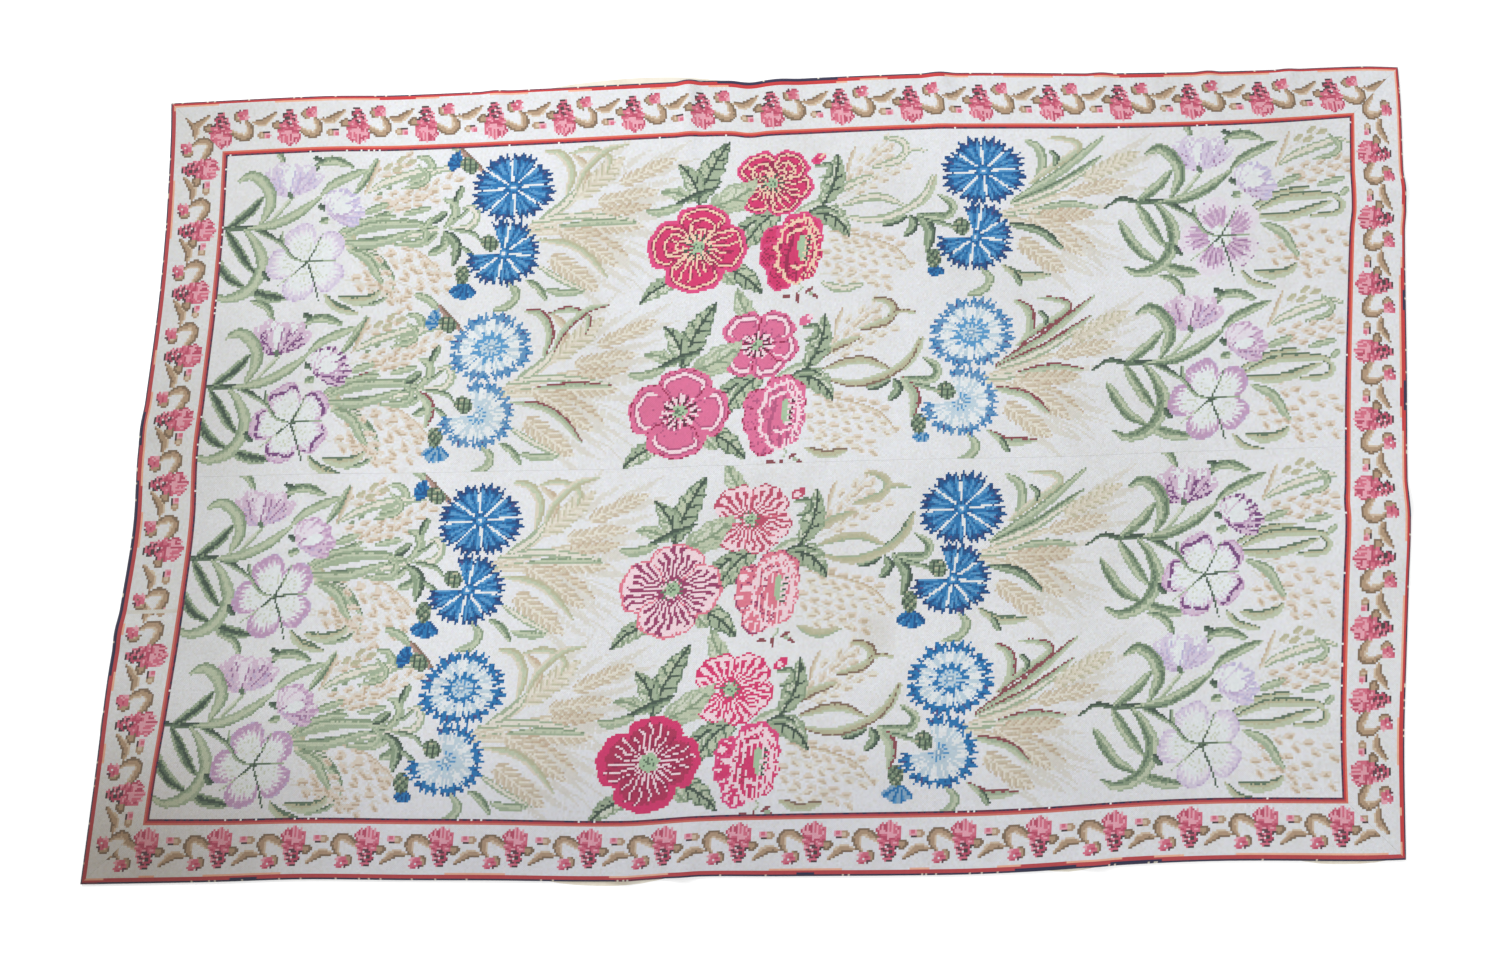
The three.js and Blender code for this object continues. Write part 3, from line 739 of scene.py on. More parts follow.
def left_sheaf(chart, look):
    """Wheat ears and leaves that fan out between the first cornflower and the anemones."""
    leaf = chart.stroke
    for y, reach in ((58, 268), (76, 270), (82, 276), (88, 282), (94, 280), (100, 274), (108, 268)):
        leaf([(238, y - 4), (256, y + 1), (reach, y + 12)], 0.3, "awn", (0, 0))
    leaf([(197, 79), (214, 70), (230, 58)], 3.4, "straw_leaf")
    leaf([(197, 80), (220, 74), (246, 68)], 3, "straw_leaf")
    leaf([(198, 81), (220, 79), (244, 79)], 3, "blade")
    leaf([(197, 82), (212, 81), (228, 85)], 3, "straw_leaf")
    ear(chart, (248, 56), (279, 43), "straw", 8)
    ear(chart, (224, 63), (250, 41), "green", 11)
    ear(chart, (236, 66), (270, 61), "straw", 8)
    ear(chart, (238, 72), (266, 69), "tan", 6)
    ear(chart, (224, 79), (262, 80), "straw", 8)
    ear(chart, (226, 81), (255, 98), "tan", 9)
    ear(chart, (215, 79), (250, 102), "straw", 9)
    ear(chart, (212, 95), (240, 115), "straw", 11)
    leaf([(206, 36), (215, 38), (221, 48), (219, 61)], 4.4, look["sheath"])
    leaf([(221, 38), (229, 46), (228, 55)], 3.4, "tan_leaf")
    leaf([(219, 38), (231, 36), (241, 41), (240, 50)], 3, look["sheath"])
    leaf([(252, 34), (242, 36), (236, 40), (228, 48), (223, 60)], 3.4, look["sheath"])
    leaf([(224, 58), (217, 66), (205, 74)], 4.4, "blade")
    leaf([(200, 75), (225, 73), (256, 77)], 3.6, "blade")
    leaf([(216, 78), (238, 77), (257, 78)], 3, look["long"])
    leaf([(203, 85), (220, 88), (232, 95), (244, 108)], 3.6, look["sheath"])
    leaf([(203, 98), (217, 107), (233, 115)], 2.6, "blade")
    leaf([(199, 107), (206, 111), (212, 119)], 3.4, "leaf")
    leaf([(211, 113), (220, 115), (231, 115)], 3.6, "leaf_soft")


def right_sheaf(chart, look):
    """The greener sheaf right of the second cornflower."""
    leaf = chart.stroke
    for y, reach in ((60, 524), (84, 512), (90, 520), (96, 522), (104, 512)):
        leaf([(486, y - 2), (500, y + 2), (reach, y + 10)], 0.3, "awn", (0, 0))
    leaf([(452, 79), (470, 74), (494, 66)], 3, "straw_leaf")
    leaf([(452, 80), (474, 78), (500, 77)], 3, "blade")
    leaf([(452, 81), (466, 84), (480, 92)], 3, "straw_leaf")
    ear(chart, (498, 60), (528, 45), "green", 9)
    ear(chart, (490, 68), (522, 62), "straw", 8)
    ear(chart, (474, 80), (504, 80), "tan", 8)
    ear(chart, (478, 82), (506, 100), "tan", 8)
    ear(chart, (468, 80), (500, 103), "straw", 9)
    ear(chart, (464, 94), (490, 112), "straw", 10)
    leaf([(466, 38), (474, 44), (475, 55), (470, 63)], 4.6, look["long"])
    leaf([(478, 37), (492, 39), (494, 44), (480, 54), (468, 63)], 3.4, look["sheath"])
    leaf([(479, 44), (483, 48), (482, 53)], 2.6, "leaf_strong")
    leaf([(458, 73), (484, 57), (509, 36)], 4, look["long"])
    leaf([(458, 74), (484, 63), (508, 47)], 3.6, look["grass"])
    leaf([(458, 75), (480, 67), (500, 55)], 3.4, "blade")
    leaf([(470, 77), (488, 74), (505, 76)], 3, look["long"])
    leaf([(458, 85), (475, 89), (488, 99)], 4, look["strap"])
    leaf([(455, 107), (466, 113), (482, 113)], 4, look["low"])
    leaf([(462, 111), (467, 119)], 3, "leaf_strong")


def anemones(chart, look):
    """Three anemones and a bud among veined leaves, with grass on their right."""
    leaf = chart.stroke
    oats(chart, (366, 64), (396, 42), 11, 3, "peach_tan", "tan_soft")
    oats(chart, (372, 66), (404, 50), 10, 2.8, "straw_pale", "tan_soft")
    oats(chart, (378, 50), (394, 36), 5, 3, "straw_pale", "tan_soft")
    oats(chart, (366, 86), (402, 97), 11, 3.4, "peach_tan", "tan_soft")
    oats(chart, (362, 92), (408, 108), 13, 3, "straw_pale", "tan_soft")
    oats(chart, (358, 99), (398, 116), 12, 3.4, "peach_tan", "tan_soft")
    oats(chart, (364, 110), (388, 114), 6, 2.6, "straw_pale", "tan_soft")
    leaf([(361, 86), (380, 90), (398, 97), (408, 108)], 1, "tan_leaf")
    leaf([(371, 55), (372, 48), (375, 40)], 1.8, "tan_leaf")
    leaf([(384, 52), (393, 50), (400, 47), (402, 41), (397, 37), (390, 36)], 3.8, look["blade"], side=-1)
    leaf([(361, 68), (372, 61), (386, 56)], 3.6, look["blade"], side=-1)
    leaf([(399, 46), (406, 43), (414, 44)], 1.8, look["blade"])
    leaf([(366, 73), (380, 69), (390, 69), (402, 74)], 3.8, look["blade"])
    leaf([(368, 78), (385, 81), (402, 76), (412, 68), (417, 57)], 4, look["blade"], side=-1)
    leaf([(359, 114), (370, 118), (382, 116)], 4, look["blade"])
    veined_leaf(chart, (296, 72), (323, 54), 17, "pale", 0.1, 3)
    veined_leaf(chart, (290, 70), (307, 35), 16, "deep", -0.05, 6)
    veined_leaf(chart, (291, 68), (279, 47), 12, "mid", 0.1, 3)
    veined_leaf(chart, (288, 68), (269, 62), 8, "pale", 0.1, 3)
    leaf([(270, 75), (285, 66), (302, 60)], 2.2, "stem_dark")
    leaf([(262, 72), (270, 73), (282, 70)], 4.4, "leaf_soft")
    veined_leaf(chart, (334, 74), (315, 95), 18, "deep", 0.1, 5)
    veined_leaf(chart, (322, 78), (312, 90), 10, "mid", 0.1, 3)
    veined_leaf(chart, (304, 104), (328, 119), 13, "deep", -0.1, 4)
    veined_leaf(chart, (305, 104), (313, 114), 8, "pale", 0.1, 2)
    veined_leaf(chart, (284, 110), (262, 123), 11, "mid", 0.1, 6)
    veined_leaf(chart, (350, 76), (373, 90), 14, "mid", -0.18, 4)
    leaf([(342, 76), (352, 71), (362, 69)], 3, "stem_pale")
    leaf([(346, 79), (356, 74), (366, 76)], 3, "leaf_strong")
    for x, y, turn in ((341, 121, 0), (347, 122, 85), (353, 118, -30), (356, 121, 30)):
        chart.oval((x, y), 5.5, 1.8, turn, "maroon")
    chart.oval((354, 120), 3, 2.4, 0, "leaf_soft")
    chart.stroke([(345, 113), (349, 116), (347, 119)], 0.6, "stem_pale", (0, 0))
    if chart.shift[1]:
        veined_leaf(chart, (328, 45), (317, 27), 11, "pale", -0.1, 3)
    veined_leaf(chart, (357, 72), (365, 43), 14, "mid", 0.1, 4)
    leaf([(353, 50), (361, 50), (361, 55), (355, 57)], 2.6, "stem")
    leaf([(356, 60), (361, 62), (358, 67)], 2, "stem")
    style = look["small"]
    chart.oval((355, 46), 8, 5, -30, style["body"], style["rim"])
    chart.oval((357, 44.5), 4, 2, -40, style["vein"])
    cup_anemone(chart, (343, 95), look["cup"])
    anemone(chart, (330, 58.5), 22, style, SMALL_PETALS, 0.88)
    anemone(chart, (291.5, 93), 26.5, look["large"], LARGE_PETALS, 0.9)
    veined_leaf(chart, (299, 71), (322, 55), 12, "pale", 0.1, 3)
    chart.oval((319, 58), 6, 3, -35, "leaf_pale")


# Two kinds of cornflower, and how the other flowers are stitched in each row. "star" is the ring of
# points round the eye, and "low_star" the same in the lower flower of a pair.
BLUE = {
    "body": "blue", "streak": "blue_light", "streak_share": 0.44, "deep": "blue_deep",
    "heart": "blue_deep", "star": "blue", "low_star": "blue", "rim": "blue_deep", "rim_from": 0.74,
    "tip": "navy", "stray": "plum_blue", "ray": "ray", "ray_from": 0.2, "eye": "blue_light",
}
ICE = {
    "body": "ice", "streak": "ray", "streak_share": 0.5, "deep": "ice",
    "heart": "blue_light", "star": "blue_light", "low_star": "ice", "rim": "ice_rim", "rim_from": 0.69,
    "tip": "blue", "stray": "plum_blue", "ray": "ray", "ray_from": 0.5, "eye": "ice_blue",
}
ICE_DEEP = ICE | {"rim": "blue", "tip": "blue_deep", "star": "blue", "streak_share": 0.4}
ANEMONE = {
    "body": "crimson", "deep": "rose_deep", "deep_share": 0.2, "vein": "cream", "loops": (0.88, 0.65, 0.42),
    "loop_width": 0.55, "loop_share": 1, "rays": 4, "uneven": 1, "ray_share": 0, "ray_to": 0.72,
    "shadow": 0.5, "rim": "hot_pink", "rim_from": 0.84, "line": 0, "outline": "rose_deep",
    "between": "rose_deep", "burst": 0.3, "heart": "leaf_black", "eye": 0.11,
}
CRIMSON = ANEMONE | {
    "body": "wine", "rim": "crimson", "vein": "pink_pale", "loops": (), "rays": 7, "uneven": 0,
    "ray_to": 0.8, "rim_from": 0.8, "burst": 0.2, "heart": "rose_deep", "eye": 0.16,
}
PLAIN_PINK = ANEMONE | {
    "body": "pink", "deep": "pink_line", "vein": "pink_pale", "rim": "pink", "loops": (0.84,),
    "loop_width": 0.9, "loop_share": 0.68, "rays": 7, "uneven": 0, "ray_to": 0.34, "shadow": 0.9,
    "deep_share": 0.04, "burst": 0.36, "heart": "rose_black", "line": 0.3,
}
STRIPED = ANEMONE | {
    "body": "pink_pale", "deep": "petal_stripe", "deep_share": 0, "vein": "petal_stripe", "loops": (),
    "rays": 9, "uneven": 0, "ray_share": 0.5, "ray_to": 0.88, "shadow": 0, "rim": "pink_soft",
    "rim_from": 0.92, "between": "pink_soft", "heart": "leaf_dark", "burst": 0.24, "eye": 0.12,
}
STRIPED_FINE = STRIPED | {
    "rim": "carnation_deep", "rim_from": 0.94, "vein": "carnation_deep", "rays": 6,
}
SALMON = ANEMONE | {
    "body": "pink_soft", "deep": "petal_stripe", "vein": "pink_pale", "rim": "pink_soft", "ray_share": 0.3,
    "line": 0.5, "outline": "petal_stripe",
}
CREAM_LINED = ANEMONE | {"vein": "pink_pale", "deep": "wine", "ray_share": 0.3}
STRIPED_DEEP = STRIPED | {"rim": "crimson", "between": "crimson", "vein": "crimson", "rays": 6}
PALE_LILAC = {
    "body": "ray", "ray": "leaf_wash", "soft": "lilac_mist", "rim": "lilac_pale", "rim_from": 0.76,
    "soft_band": 0.08, "ink": 0.4, "inked": "lilac", "stripes": None, "crescent": None,
    "frill": "lilac_pale", "edge": "lilac_blue", "open": "ray",
    "streak": "lilac_blue", "tip": "lilac_pale", "crease": "lilac_crease",
}
MAUVE_RIM = PALE_LILAC | {
    "soft": "mauve_soft", "rim": "mauve", "soft_band": 0.07, "frill": "mauve_soft", "edge": "mauve",
    "open": "lilac_mist", "streak": "mauve_deep", "tip": "mauve_soft", "crease": "mauve_crease",
}
VIOLET_RIM = PALE_LILAC | {
    "soft": "lilac_pale", "rim": "mauve_soft", "soft_band": 0.04, "inked": "mauve", "ink": 0.6,
    "crescent": "violet", "frill": "mauve_soft", "edge": "violet", "streak": "mauve_deep",
    "tip": "mauve_soft", "crease": "mauve_crease",
}
STRIPED_LILAC = PALE_LILAC | {
    "stripes": "mauve", "inked": "mauve_deep", "ink": 0.1, "rim": "lilac_mist", "streak": "lilac",
}
GREEN_EDGE = {
    "grass": "leaf", "strap": "leaf_strong", "knot": "leaf_strong", "sheath": "olive", "blade": "blade",
    "long": "leaf_soft", "low": "gold",
}
OLIVE_EDGE = GREEN_EDGE | {"blade": "olive_blade"}
MAROON_EDGE = {
    "grass": "edged", "strap": "edged", "knot": "edged", "sheath": "edged", "blade": "edged_blade",
    "long": "edged", "low": "edged",
}

# The leaves round the lilac flowers, in the left and the right group
LEFT_GROUP = {"back": "leaf_shadow", "ring": "leaf_broad", "loop": "leaf_soft"}
RIGHT_GROUP = {"back": "leaf", "ring": "leaf", "loop": "gold"}

# Each row of the field: how far down it starts, its panel, its colouring, and how far each group of plants
# is shifted along. A bud has its style and the length of its tuft.
ROWS = (
    {
        "down": 0.0, "panel": "far", "blue": BLUE,
        "left_leaves": GREEN_EDGE, "right_leaves": GREEN_EDGE,
        "first_bud": {"style": "deep", "length": 9.5}, "second_bud": {"style": "deep", "length": 5.5},
        "large": ANEMONE, "small": ANEMONE, "cup": ANEMONE,
        "left_lilac": PALE_LILAC, "right_lilac": STRIPED_LILAC,
        "along": {"left": 0.6, "first": 0, "middle": 0, "second": 0, "right": 0},
    },
    {
        "down": 88.1, "panel": "far", "blue": ICE,
        "left_leaves": MAROON_EDGE, "right_leaves": MAROON_EDGE,
        "first_bud": {"style": "pale", "length": 9.5}, "second_bud": {"style": "pale", "length": 5.5},
        "large": PLAIN_PINK, "small": PLAIN_PINK, "cup": PLAIN_PINK,
        "left_lilac": VIOLET_RIM, "right_lilac": MAUVE_RIM,
        "along": {"left": 1.2, "first": -5.9, "middle": -2.8, "second": -2.8, "right": -2.1},
    },
    {
        "down": 180.3, "panel": "near", "blue": BLUE,
        "left_leaves": OLIVE_EDGE, "right_leaves": OLIVE_EDGE,
        "first_bud": {"style": "deep", "length": 9.5}, "second_bud": {"style": "deep", "length": 9.5},
        "large": STRIPED, "small": STRIPED_FINE, "cup": SALMON,
        "left_lilac": MAUVE_RIM, "right_lilac": VIOLET_RIM,
        "along": {"left": 0.6, "first": -4.2, "middle": -1.7, "second": -3.8, "right": -3.2},
    },
    {
        "down": 267.1, "panel": "near", "blue": ICE_DEEP,
        "left_leaves": OLIVE_EDGE, "right_leaves": MAROON_EDGE,
        "first_bud": {"style": "deep", "length": 5.5}, "second_bud": {"style": "pale", "length": 9.5},
        "large": CRIMSON, "small": STRIPED_DEEP, "cup": CREAM_LINED,
        "left_lilac": MAUVE_RIM, "right_lilac": PALE_LILAC,
        "along": {"left": 2.8, "first": -4.2, "middle": -4.4, "second": -4.9, "right": -2.1},
    },
)
# The right-hand plants are the left-hand ones again, this many stitches along
CORNCOCKLE_REPEAT = 492.6
CORNFLOWER_REPEAT = 254.5


# How many of the plain stitches are of the warmer of the two ground yarns
WARM_SHARE = 0.3
LEFT_WARM_SHARE = 0.55


def paint_panel(panel, top):
    """Both rows of one panel's pattern, as one chart."""
    chart = Chart(FIELD_COLUMNS, FIELD_ROWS // 2, BORDER_STITCHES, top, seed=int(top))
    warm = chart.random.random(chart.yarn.shape) < WARM_SHARE
    chart.yarn[:] = np.where(warm, YARN["ground_warm"], YARN["ground"])
    for row in ROWS:
        if row["panel"] != panel:
            continue
        down, along = row["down"], row["along"]

        def draw(part, place, look=None, leaves="right_leaves"):
            chart.shift = (place, down)
            part(chart, (look or {}) | row[leaves])

        draw(oat_spray, along["left"], leaves="left_leaves")
        draw(left_sheaf, along["first"], leaves="left_leaves")
        draw(right_sheaf, along["second"])
        draw(corncockle_group, along["left"] - CORNCOCKLE_REPEAT, row["left_lilac"] | LEFT_GROUP)
        draw(corncockle_group, along["right"], row["right_lilac"] | RIGHT_GROUP)
        draw(left_node, along["first"], leaves="left_leaves")
        draw(right_node, along["second"])
        draw(anemones, along["middle"], {kind: row[kind] for kind in ("large", "small", "cup")})
        for number, repeat in (("first", 0), ("second", CORNFLOWER_REPEAT)):
            bud = row[number + "_bud"]
            flower = {
                "blue": row["blue"], "tuft": bud["style"], "low_bud": bud["length"],
                "top_bud": number == "first",
            }
            draw(cornflowers, along[number] + repeat, flower)
    return chart


# Border. Places are along the strip and in from its outer edge, and the pattern runs to the right.

# Where the carnations stand along each strip. The left strip is pieced, with one left out at its join.
CARNATIONS = {
    "far": ({"first": 27.8, "step": 37.8, "count": 17},),
    "right": ({"first": 50.3, "step": 36.2, "count": 10},),
    "near": ({"first": 32.0, "step": 38.0, "count": 17},),
    "left": (
        {"first": 45.0, "step": 35.4, "count": 3},
        {"first": 171.5, "step": 34.9, "count": 7},
    ),
}
LEFT_JOIN = 139
# From a carnation back to the scroll before it, in stitches
SCROLL_BEFORE = 37
# The lines beside the outer edge, in stitches past the navy edge, and the rows beside the field's seam
PEACH_LINE = 2.4
RED_LINE = 1.9
INNER_ROWS = {"pale": -3, "red": -2, "plum": -1}


def carnation(chart, x):
    """A double carnation seen from the side: a narrow crown outside and a wider pale skirt inside."""
    chart.oval((x - 6.5, 15.8), 7, 5, 0, "scroll", "scroll_dark")
    for k in (-3, 3, -2, 2, -1, 1, 0):
        tip = (x + 1.9 * k + 0.3, 28 - 0.42 * abs(k) ** 1.6 - 0.8 * (k % 2))
        chart.stroke([(x + 0.8 * k, 16), tip], 2.3, "skirt_pale" if k % 2 else "skirt", (0, 0.18))
    for row in CARNATION_PETALS:
        spot = (x + row["right"], row["down"])
        chart.oval(spot, 4.4, 3.2, row["turn"], row["yarn"])
        chart.oval((spot[0] - 0.7, spot[1] - 1.2), 3.6, 1.3, row["turn"], row["shadow"])
        chart.oval((spot[0] + 0.8, spot[1] + 0.7), 2.2, 1.1, row["turn"], "carnation_pale")


def scroll(chart, x, flower=True):
    """The hooked stem with its small flower, the long leaf and the bud that follow a carnation."""
    hook = [(x + 4, 16.5), (x + 9, 20.5), (x + 13.5, 22), (x + 16.3, 19.5), (x + 15.5, 15), (x + 13, 12)]
    chart.stroke(hook, 3.9, "scroll", tips=(0.3, 0.25), side=-1)
    chart.stroke([(x + 17, 13.2), (x + 23, 13.8), (x + 31, 8.6)], 4.2, "scroll", tips=(0.5, 0.5))
    chart.oval((x + 22.8, 21), 4.8, 3.8, 0, "scroll_pale", "scroll")
    chart.oval((x + 26, 21.4), 3.8, 3.6, 0, "carnation_pale")
    chart.oval((x + 26.4, 22), 2.4, 1.8, 0, "carnation")
    chart.oval((x + 25.4, 19.4), 3.6, 1.2, 0, "outline")
    if not flower:
        return
    chart.stroke([(x + 9.5, 7), (x + 8.4, 10.5), (x + 11.5, 13)], 2.6, "scroll", side=-1)
    for row in BUD_PETALS:
        spot = (x + 12.3 + row["right"], row["down"])
        chart.oval(spot, 3.8, 3, row["turn"], row["yarn"])
        chart.oval((spot[0] - 0.5, spot[1] - 1), 2.6, 1.1, row["turn"], row["shadow"])


def paint_strip(side, length, seed):
    """One border strip: its lines and its row of carnations and scrolls."""
    chart = Chart(length, BORDER_STITCHES, seed=seed)
    warm = chart.random.random(chart.yarn.shape) < (LEFT_WARM_SHARE if side == "left" else WARM_SHARE)
    chart.yarn[:] = np.where(warm, YARN["ground_warm"], YARN["ground"])
    places = [row["first"] + row["step"] * k for row in CARNATIONS[side] for k in range(row["count"])]
    joins = [LEFT_JOIN - 6.0] if side == "left" else []
    scroll(chart, places[0] - SCROLL_BEFORE, side not in ("near", "far"))
    for x in places + joins:
        scroll(chart, x)
    for x in places:
        carnation(chart, x)
    if side == "left":
        chart.stroke([(LEFT_JOIN, 4), (LEFT_JOIN, 29)], 0.6, "awn", tips=(0, 0))
    place = np.arange(length)
    across = np.arange(BORDER_STITCHES)[:, None] + 0.5
    fold = read_table(HEM_FOLD[side], place / length)
    fold = fold + 0.3 * np.sin(place / 23.0 + seed) + 0.25 * np.sin(place / 9.1)
    pale, red = INNER_LINES[side]["pale"], INNER_LINES[side]["red"]
    chart.yarn[across < fold + PEACH_LINE] = YARN["line_peach"]
    chart.yarn[across < fold + RED_LINE] = YARN[red]
    chart.yarn[0] = YARN["line_plum"]
    chart.yarn[across < fold] = YARN["line_navy"]
    chart.yarn[INNER_ROWS["pale"]] = YARN[pale]
    chart.yarn[INNER_ROWS["red"]] = YARN[red]
    plum = chart.random.random(length) < 0.7
    chart.yarn[INNER_ROWS["plum"]] = np.where(plum, YARN["line_plum"], YARN["line_navy"])
    # Single stitches where the sewing thread shows
    chart.yarn[INNER_ROWS["plum"], chart.random.random(length) < 0.03] = YARN["white"]
    chart.yarn[0, chart.random.random(length) < 0.05] = YARN["straw"]
    return chart


# The upper petals of a carnation and of the scroll's small flower
CARNATION_PETALS = (
    {"right": 0.4, "down": 8.6, "turn": 0, "yarn": "carnation", "shadow": "outline"},
    {"right": -1.6, "down": 10.8, "turn": -30, "yarn": "carnation_deep", "shadow": "outline"},
    {"right": 2.4, "down": 11.2, "turn": 30, "yarn": "carnation", "shadow": "rose_ink"},
    {"right": -0.4, "down": 13.2, "turn": 0, "yarn": "carnation_deep", "shadow": "outline"},
    {"right": 3.2, "down": 14.0, "turn": 40, "yarn": "carnation", "shadow": "rose_ink"},
    {"right": -3.4, "down": 15.6, "turn": -30, "yarn": "carnation", "shadow": "outline"},
    {"right": 0.6, "down": 16.2, "turn": 10, "yarn": "carnation_deep", "shadow": "rose_ink"},
    {"right": 4.2, "down": 17.6, "turn": 30, "yarn": "carnation", "shadow": "carnation_deep"},
    {"right": -4.0, "down": 19.4, "turn": -20, "yarn": "carnation", "shadow": "carnation_deep"},
    {"right": -0.8, "down": 20.0, "turn": 0, "yarn": "carnation_pale", "shadow": "carnation_deep"},
    {"right": 3.2, "down": 21.6, "turn": 20, "yarn": "carnation_pale", "shadow": "carnation"},
)
BUD_PETALS = (
    {"right": -1.6, "down": 8.2, "turn": -40, "yarn": "carnation", "shadow": "rose_ink"},
    {"right": 1.4, "down": 7.4, "turn": 20, "yarn": "carnation", "shadow": "carnation_deep"},
    {"right": 1.8, "down": 10.2, "turn": 60, "yarn": "carnation_pale", "shadow": "carnation"},
    {"right": -0.6, "down": 10.8, "turn": 0, "yarn": "carnation", "shadow": "carnation_deep"},
)
# The pale and the red yarn of each strip's lines
INNER_LINES = {
    "far": {"pale": "line_coral", "red": "line_red"},
    "right": {"pale": "line_coral", "red": "line_red"},
    "near": {"pale": "line_clay", "red": "line_rose"},
    "left": {"pale": "line_clay", "red": "line_rose"},
}
# How many stitches of the navy edge show before the red line, at shares of the way along each strip
HEM_FOLD = {
    "far": {
        "at": (0, 0.38, 0.4, 0.43, 0.45, 0.49, 0.54, 0.57, 1),
        "value": (0.3, 0.4, 1.2, 0.5, 1.4, 2.2, 1.6, 0.5, 0.4),
    },
    "right": {
        "at": (0, 0.25, 0.29, 0.44, 0.48, 0.8, 0.9, 1),
        "value": (0.3, 0.3, 1.5, 1.3, 0.3, 0.6, 0.9, 0.5),
    },
    "near": {
        "at": (0, 0.04, 0.2, 0.45, 0.6, 0.8, 1),
        "value": (0.4, 1.1, 1.4, 1.0, 0.8, 1.1, 0.9),
    },
    "left": {
        "at": (0, 0.12, 0.2, 0.26, 0.4, 0.5, 0.7, 0.9, 1),
        "value": (1.0, 0.9, 0.5, 1.8, 2.2, 1.4, 1.0, 0.9, 0.5),
    },
}


# Cloth, in millimetres
RUG_LENGTH, RUG_WIDTH = 2438, 1516
FAR_EDGE_SHIFT = 113
BORDER_WIDTH = 116
LINING_THICKNESS = 1.0
UNDERSIDE = 1.3
CANVAS_THICKNESS = 3.4
SEAM_GAP = 0.2
# The rug's box is centred on the origin, which lies this far from the middle of its plan
CENTRE_SHIFT = np.array((1.49, -0.891))

# Border section from the outer edge inwards: heights of its underside and top above the cloth's underside
HEM_SECTION = {
    "in": (0, 2.5, 12, 34, BORDER_WIDTH),
    "under": (1.3, 0.2, 0, 0, 0),
    "top": (2.6, 4.9, 5.5, 4.2, CANVAS_THICKNESS),
}
# Undersides are coarser: stitches in a quad along long and short pieces, and quads across a piece
UNDER_STEP, SHORT_UNDER_STEP = 8, 7
BAND_UNDER_ROWS = 11
BORDER_UNDER_ROWS = 8
LINING_QUADS = (96, 60)
LINING_THREADS = (2400, 1500)

# How far each edge strays outwards from a straight line, at shares of the way along the rug or across it
EDGE_DRIFT = {
    "near": {
        "at": (0, 0.1, 0.17, 0.25, 0.31, 0.41, 0.47, 0.53, 0.66, 0.72, 0.8, 0.87, 0.97, 1),
        "value": (4, 4, 2, 7, 10, 16, 10, 12, 15, 12, 2, -1, 4, 3),
    },
    "far": {
        "at": (0, 0.125, 0.19, 0.31, 0.38, 0.43, 0.46, 0.475, 0.49, 0.56, 0.63, 0.69, 0.77, 0.88, 0.97, 1),
        "value": (0, 6, 3, 8, 12, 14, 13, 8, 11, 15, 16, 12, 5, 2, 4, 0),
    },
    "left": {
        "at": (0, 0.12, 0.25, 0.34, 0.44, 0.53, 0.6, 0.72, 0.82, 0.9, 0.96, 1),
        "value": (3, -1, -4, -13, -20, -13, -16, -20, -18, -12, -6, 0),
    },
    "right": {
        "at": (0, 0.14, 0.25, 0.33, 0.41, 0.44, 0.6, 0.78, 0.81, 0.86, 0.95, 1),
        "value": (2, 1, 7, 12, 17, 12, 12, 11, 14, 9, 5, 0),
    },
}
# How much wider the border is than usual, along the same sides
BORDER_EXTRA = {
    "near": {
        "at": (0, 0.1, 0.25, 0.42, 0.55, 0.75, 1),
        "value": (0, -4, -6, -9, -5, -3, -3),
    },
    "far": {
        "at": (0, 0.4, 0.85, 0.95, 1),
        "value": (1, -1, -3, -7, -11),
    },
    "left": {
        "at": (0, 0.06, 0.15, 0.23, 0.32, 0.42, 0.7, 1),
        "value": (-2, 0, 7, 10, 7, 4, 1, 1),
    },
    "right": {
        "at": (0, 0.1, 0.22, 0.4, 0.45, 0.6, 0.7, 0.9, 1),
        "value": (-2, 2, 5, 7, 3, 1, -3, -12, -15),
    },
}
# Ripples that run in from the edges: where along the side, half width, height and reach inwards
RIPPLES = (
    {"side": "far", "at": 0.268, "half_width": 34, "tall": 4.5, "reach": 120},
    {"side": "far", "at": 0.426, "half_width": 30, "tall": 10, "reach": 210},
    {"side": "far", "at": 0.5, "half_width": 46, "tall": 5.5, "reach": 150},
    {"side": "far", "at": 0.63, "half_width": 40, "tall": 7.5, "reach": 170},
    {"side": "far", "at": 0.761, "half_width": 32, "tall": 5, "reach": 140},
    {"side": "far", "at": 0.847, "half_width": 30, "tall": 6, "reach": 140},
    {"side": "far", "at": 0.911, "half_width": 28, "tall": 4, "reach": 110},
    {"side": "near", "at": 0.415, "half_width": 38, "tall": 5, "reach": 150},
    {"side": "near", "at": 0.458, "half_width": 34, "tall": 6, "reach": 130},
    {"side": "near", "at": 0.77, "half_width": 40, "tall": 5.5, "reach": 150},
    {"side": "left", "at": 0.307, "half_width": 44, "tall": 6, "reach": 140},
    {"side": "left", "at": 0.568, "half_width": 50, "tall": 5, "reach": 130},
    {"side": "right", "at": 0.434, "half_width": 42, "tall": 6.5, "reach": 150},
    {"side": "right", "at": 0.837, "half_width": 40, "tall": 6, "reach": 140},
)
# Broad low swells, at shares of the rug's length and width
SWELLS = (
    {"along": 0.43, "across": 0.8, "radius": 330, "tall": 3.2},
    {"along": 0.7, "across": 0.72, "radius": 300, "tall": 2.4},
    {"along": 0.22, "across": 0.36, "radius": 300, "tall": 2.2},
    {"along": 0.62, "across": 0.24, "radius": 320, "tall": 2.6},
    {"along": 0.88, "across": 0.45, "radius": 240, "tall": 2.4},
)
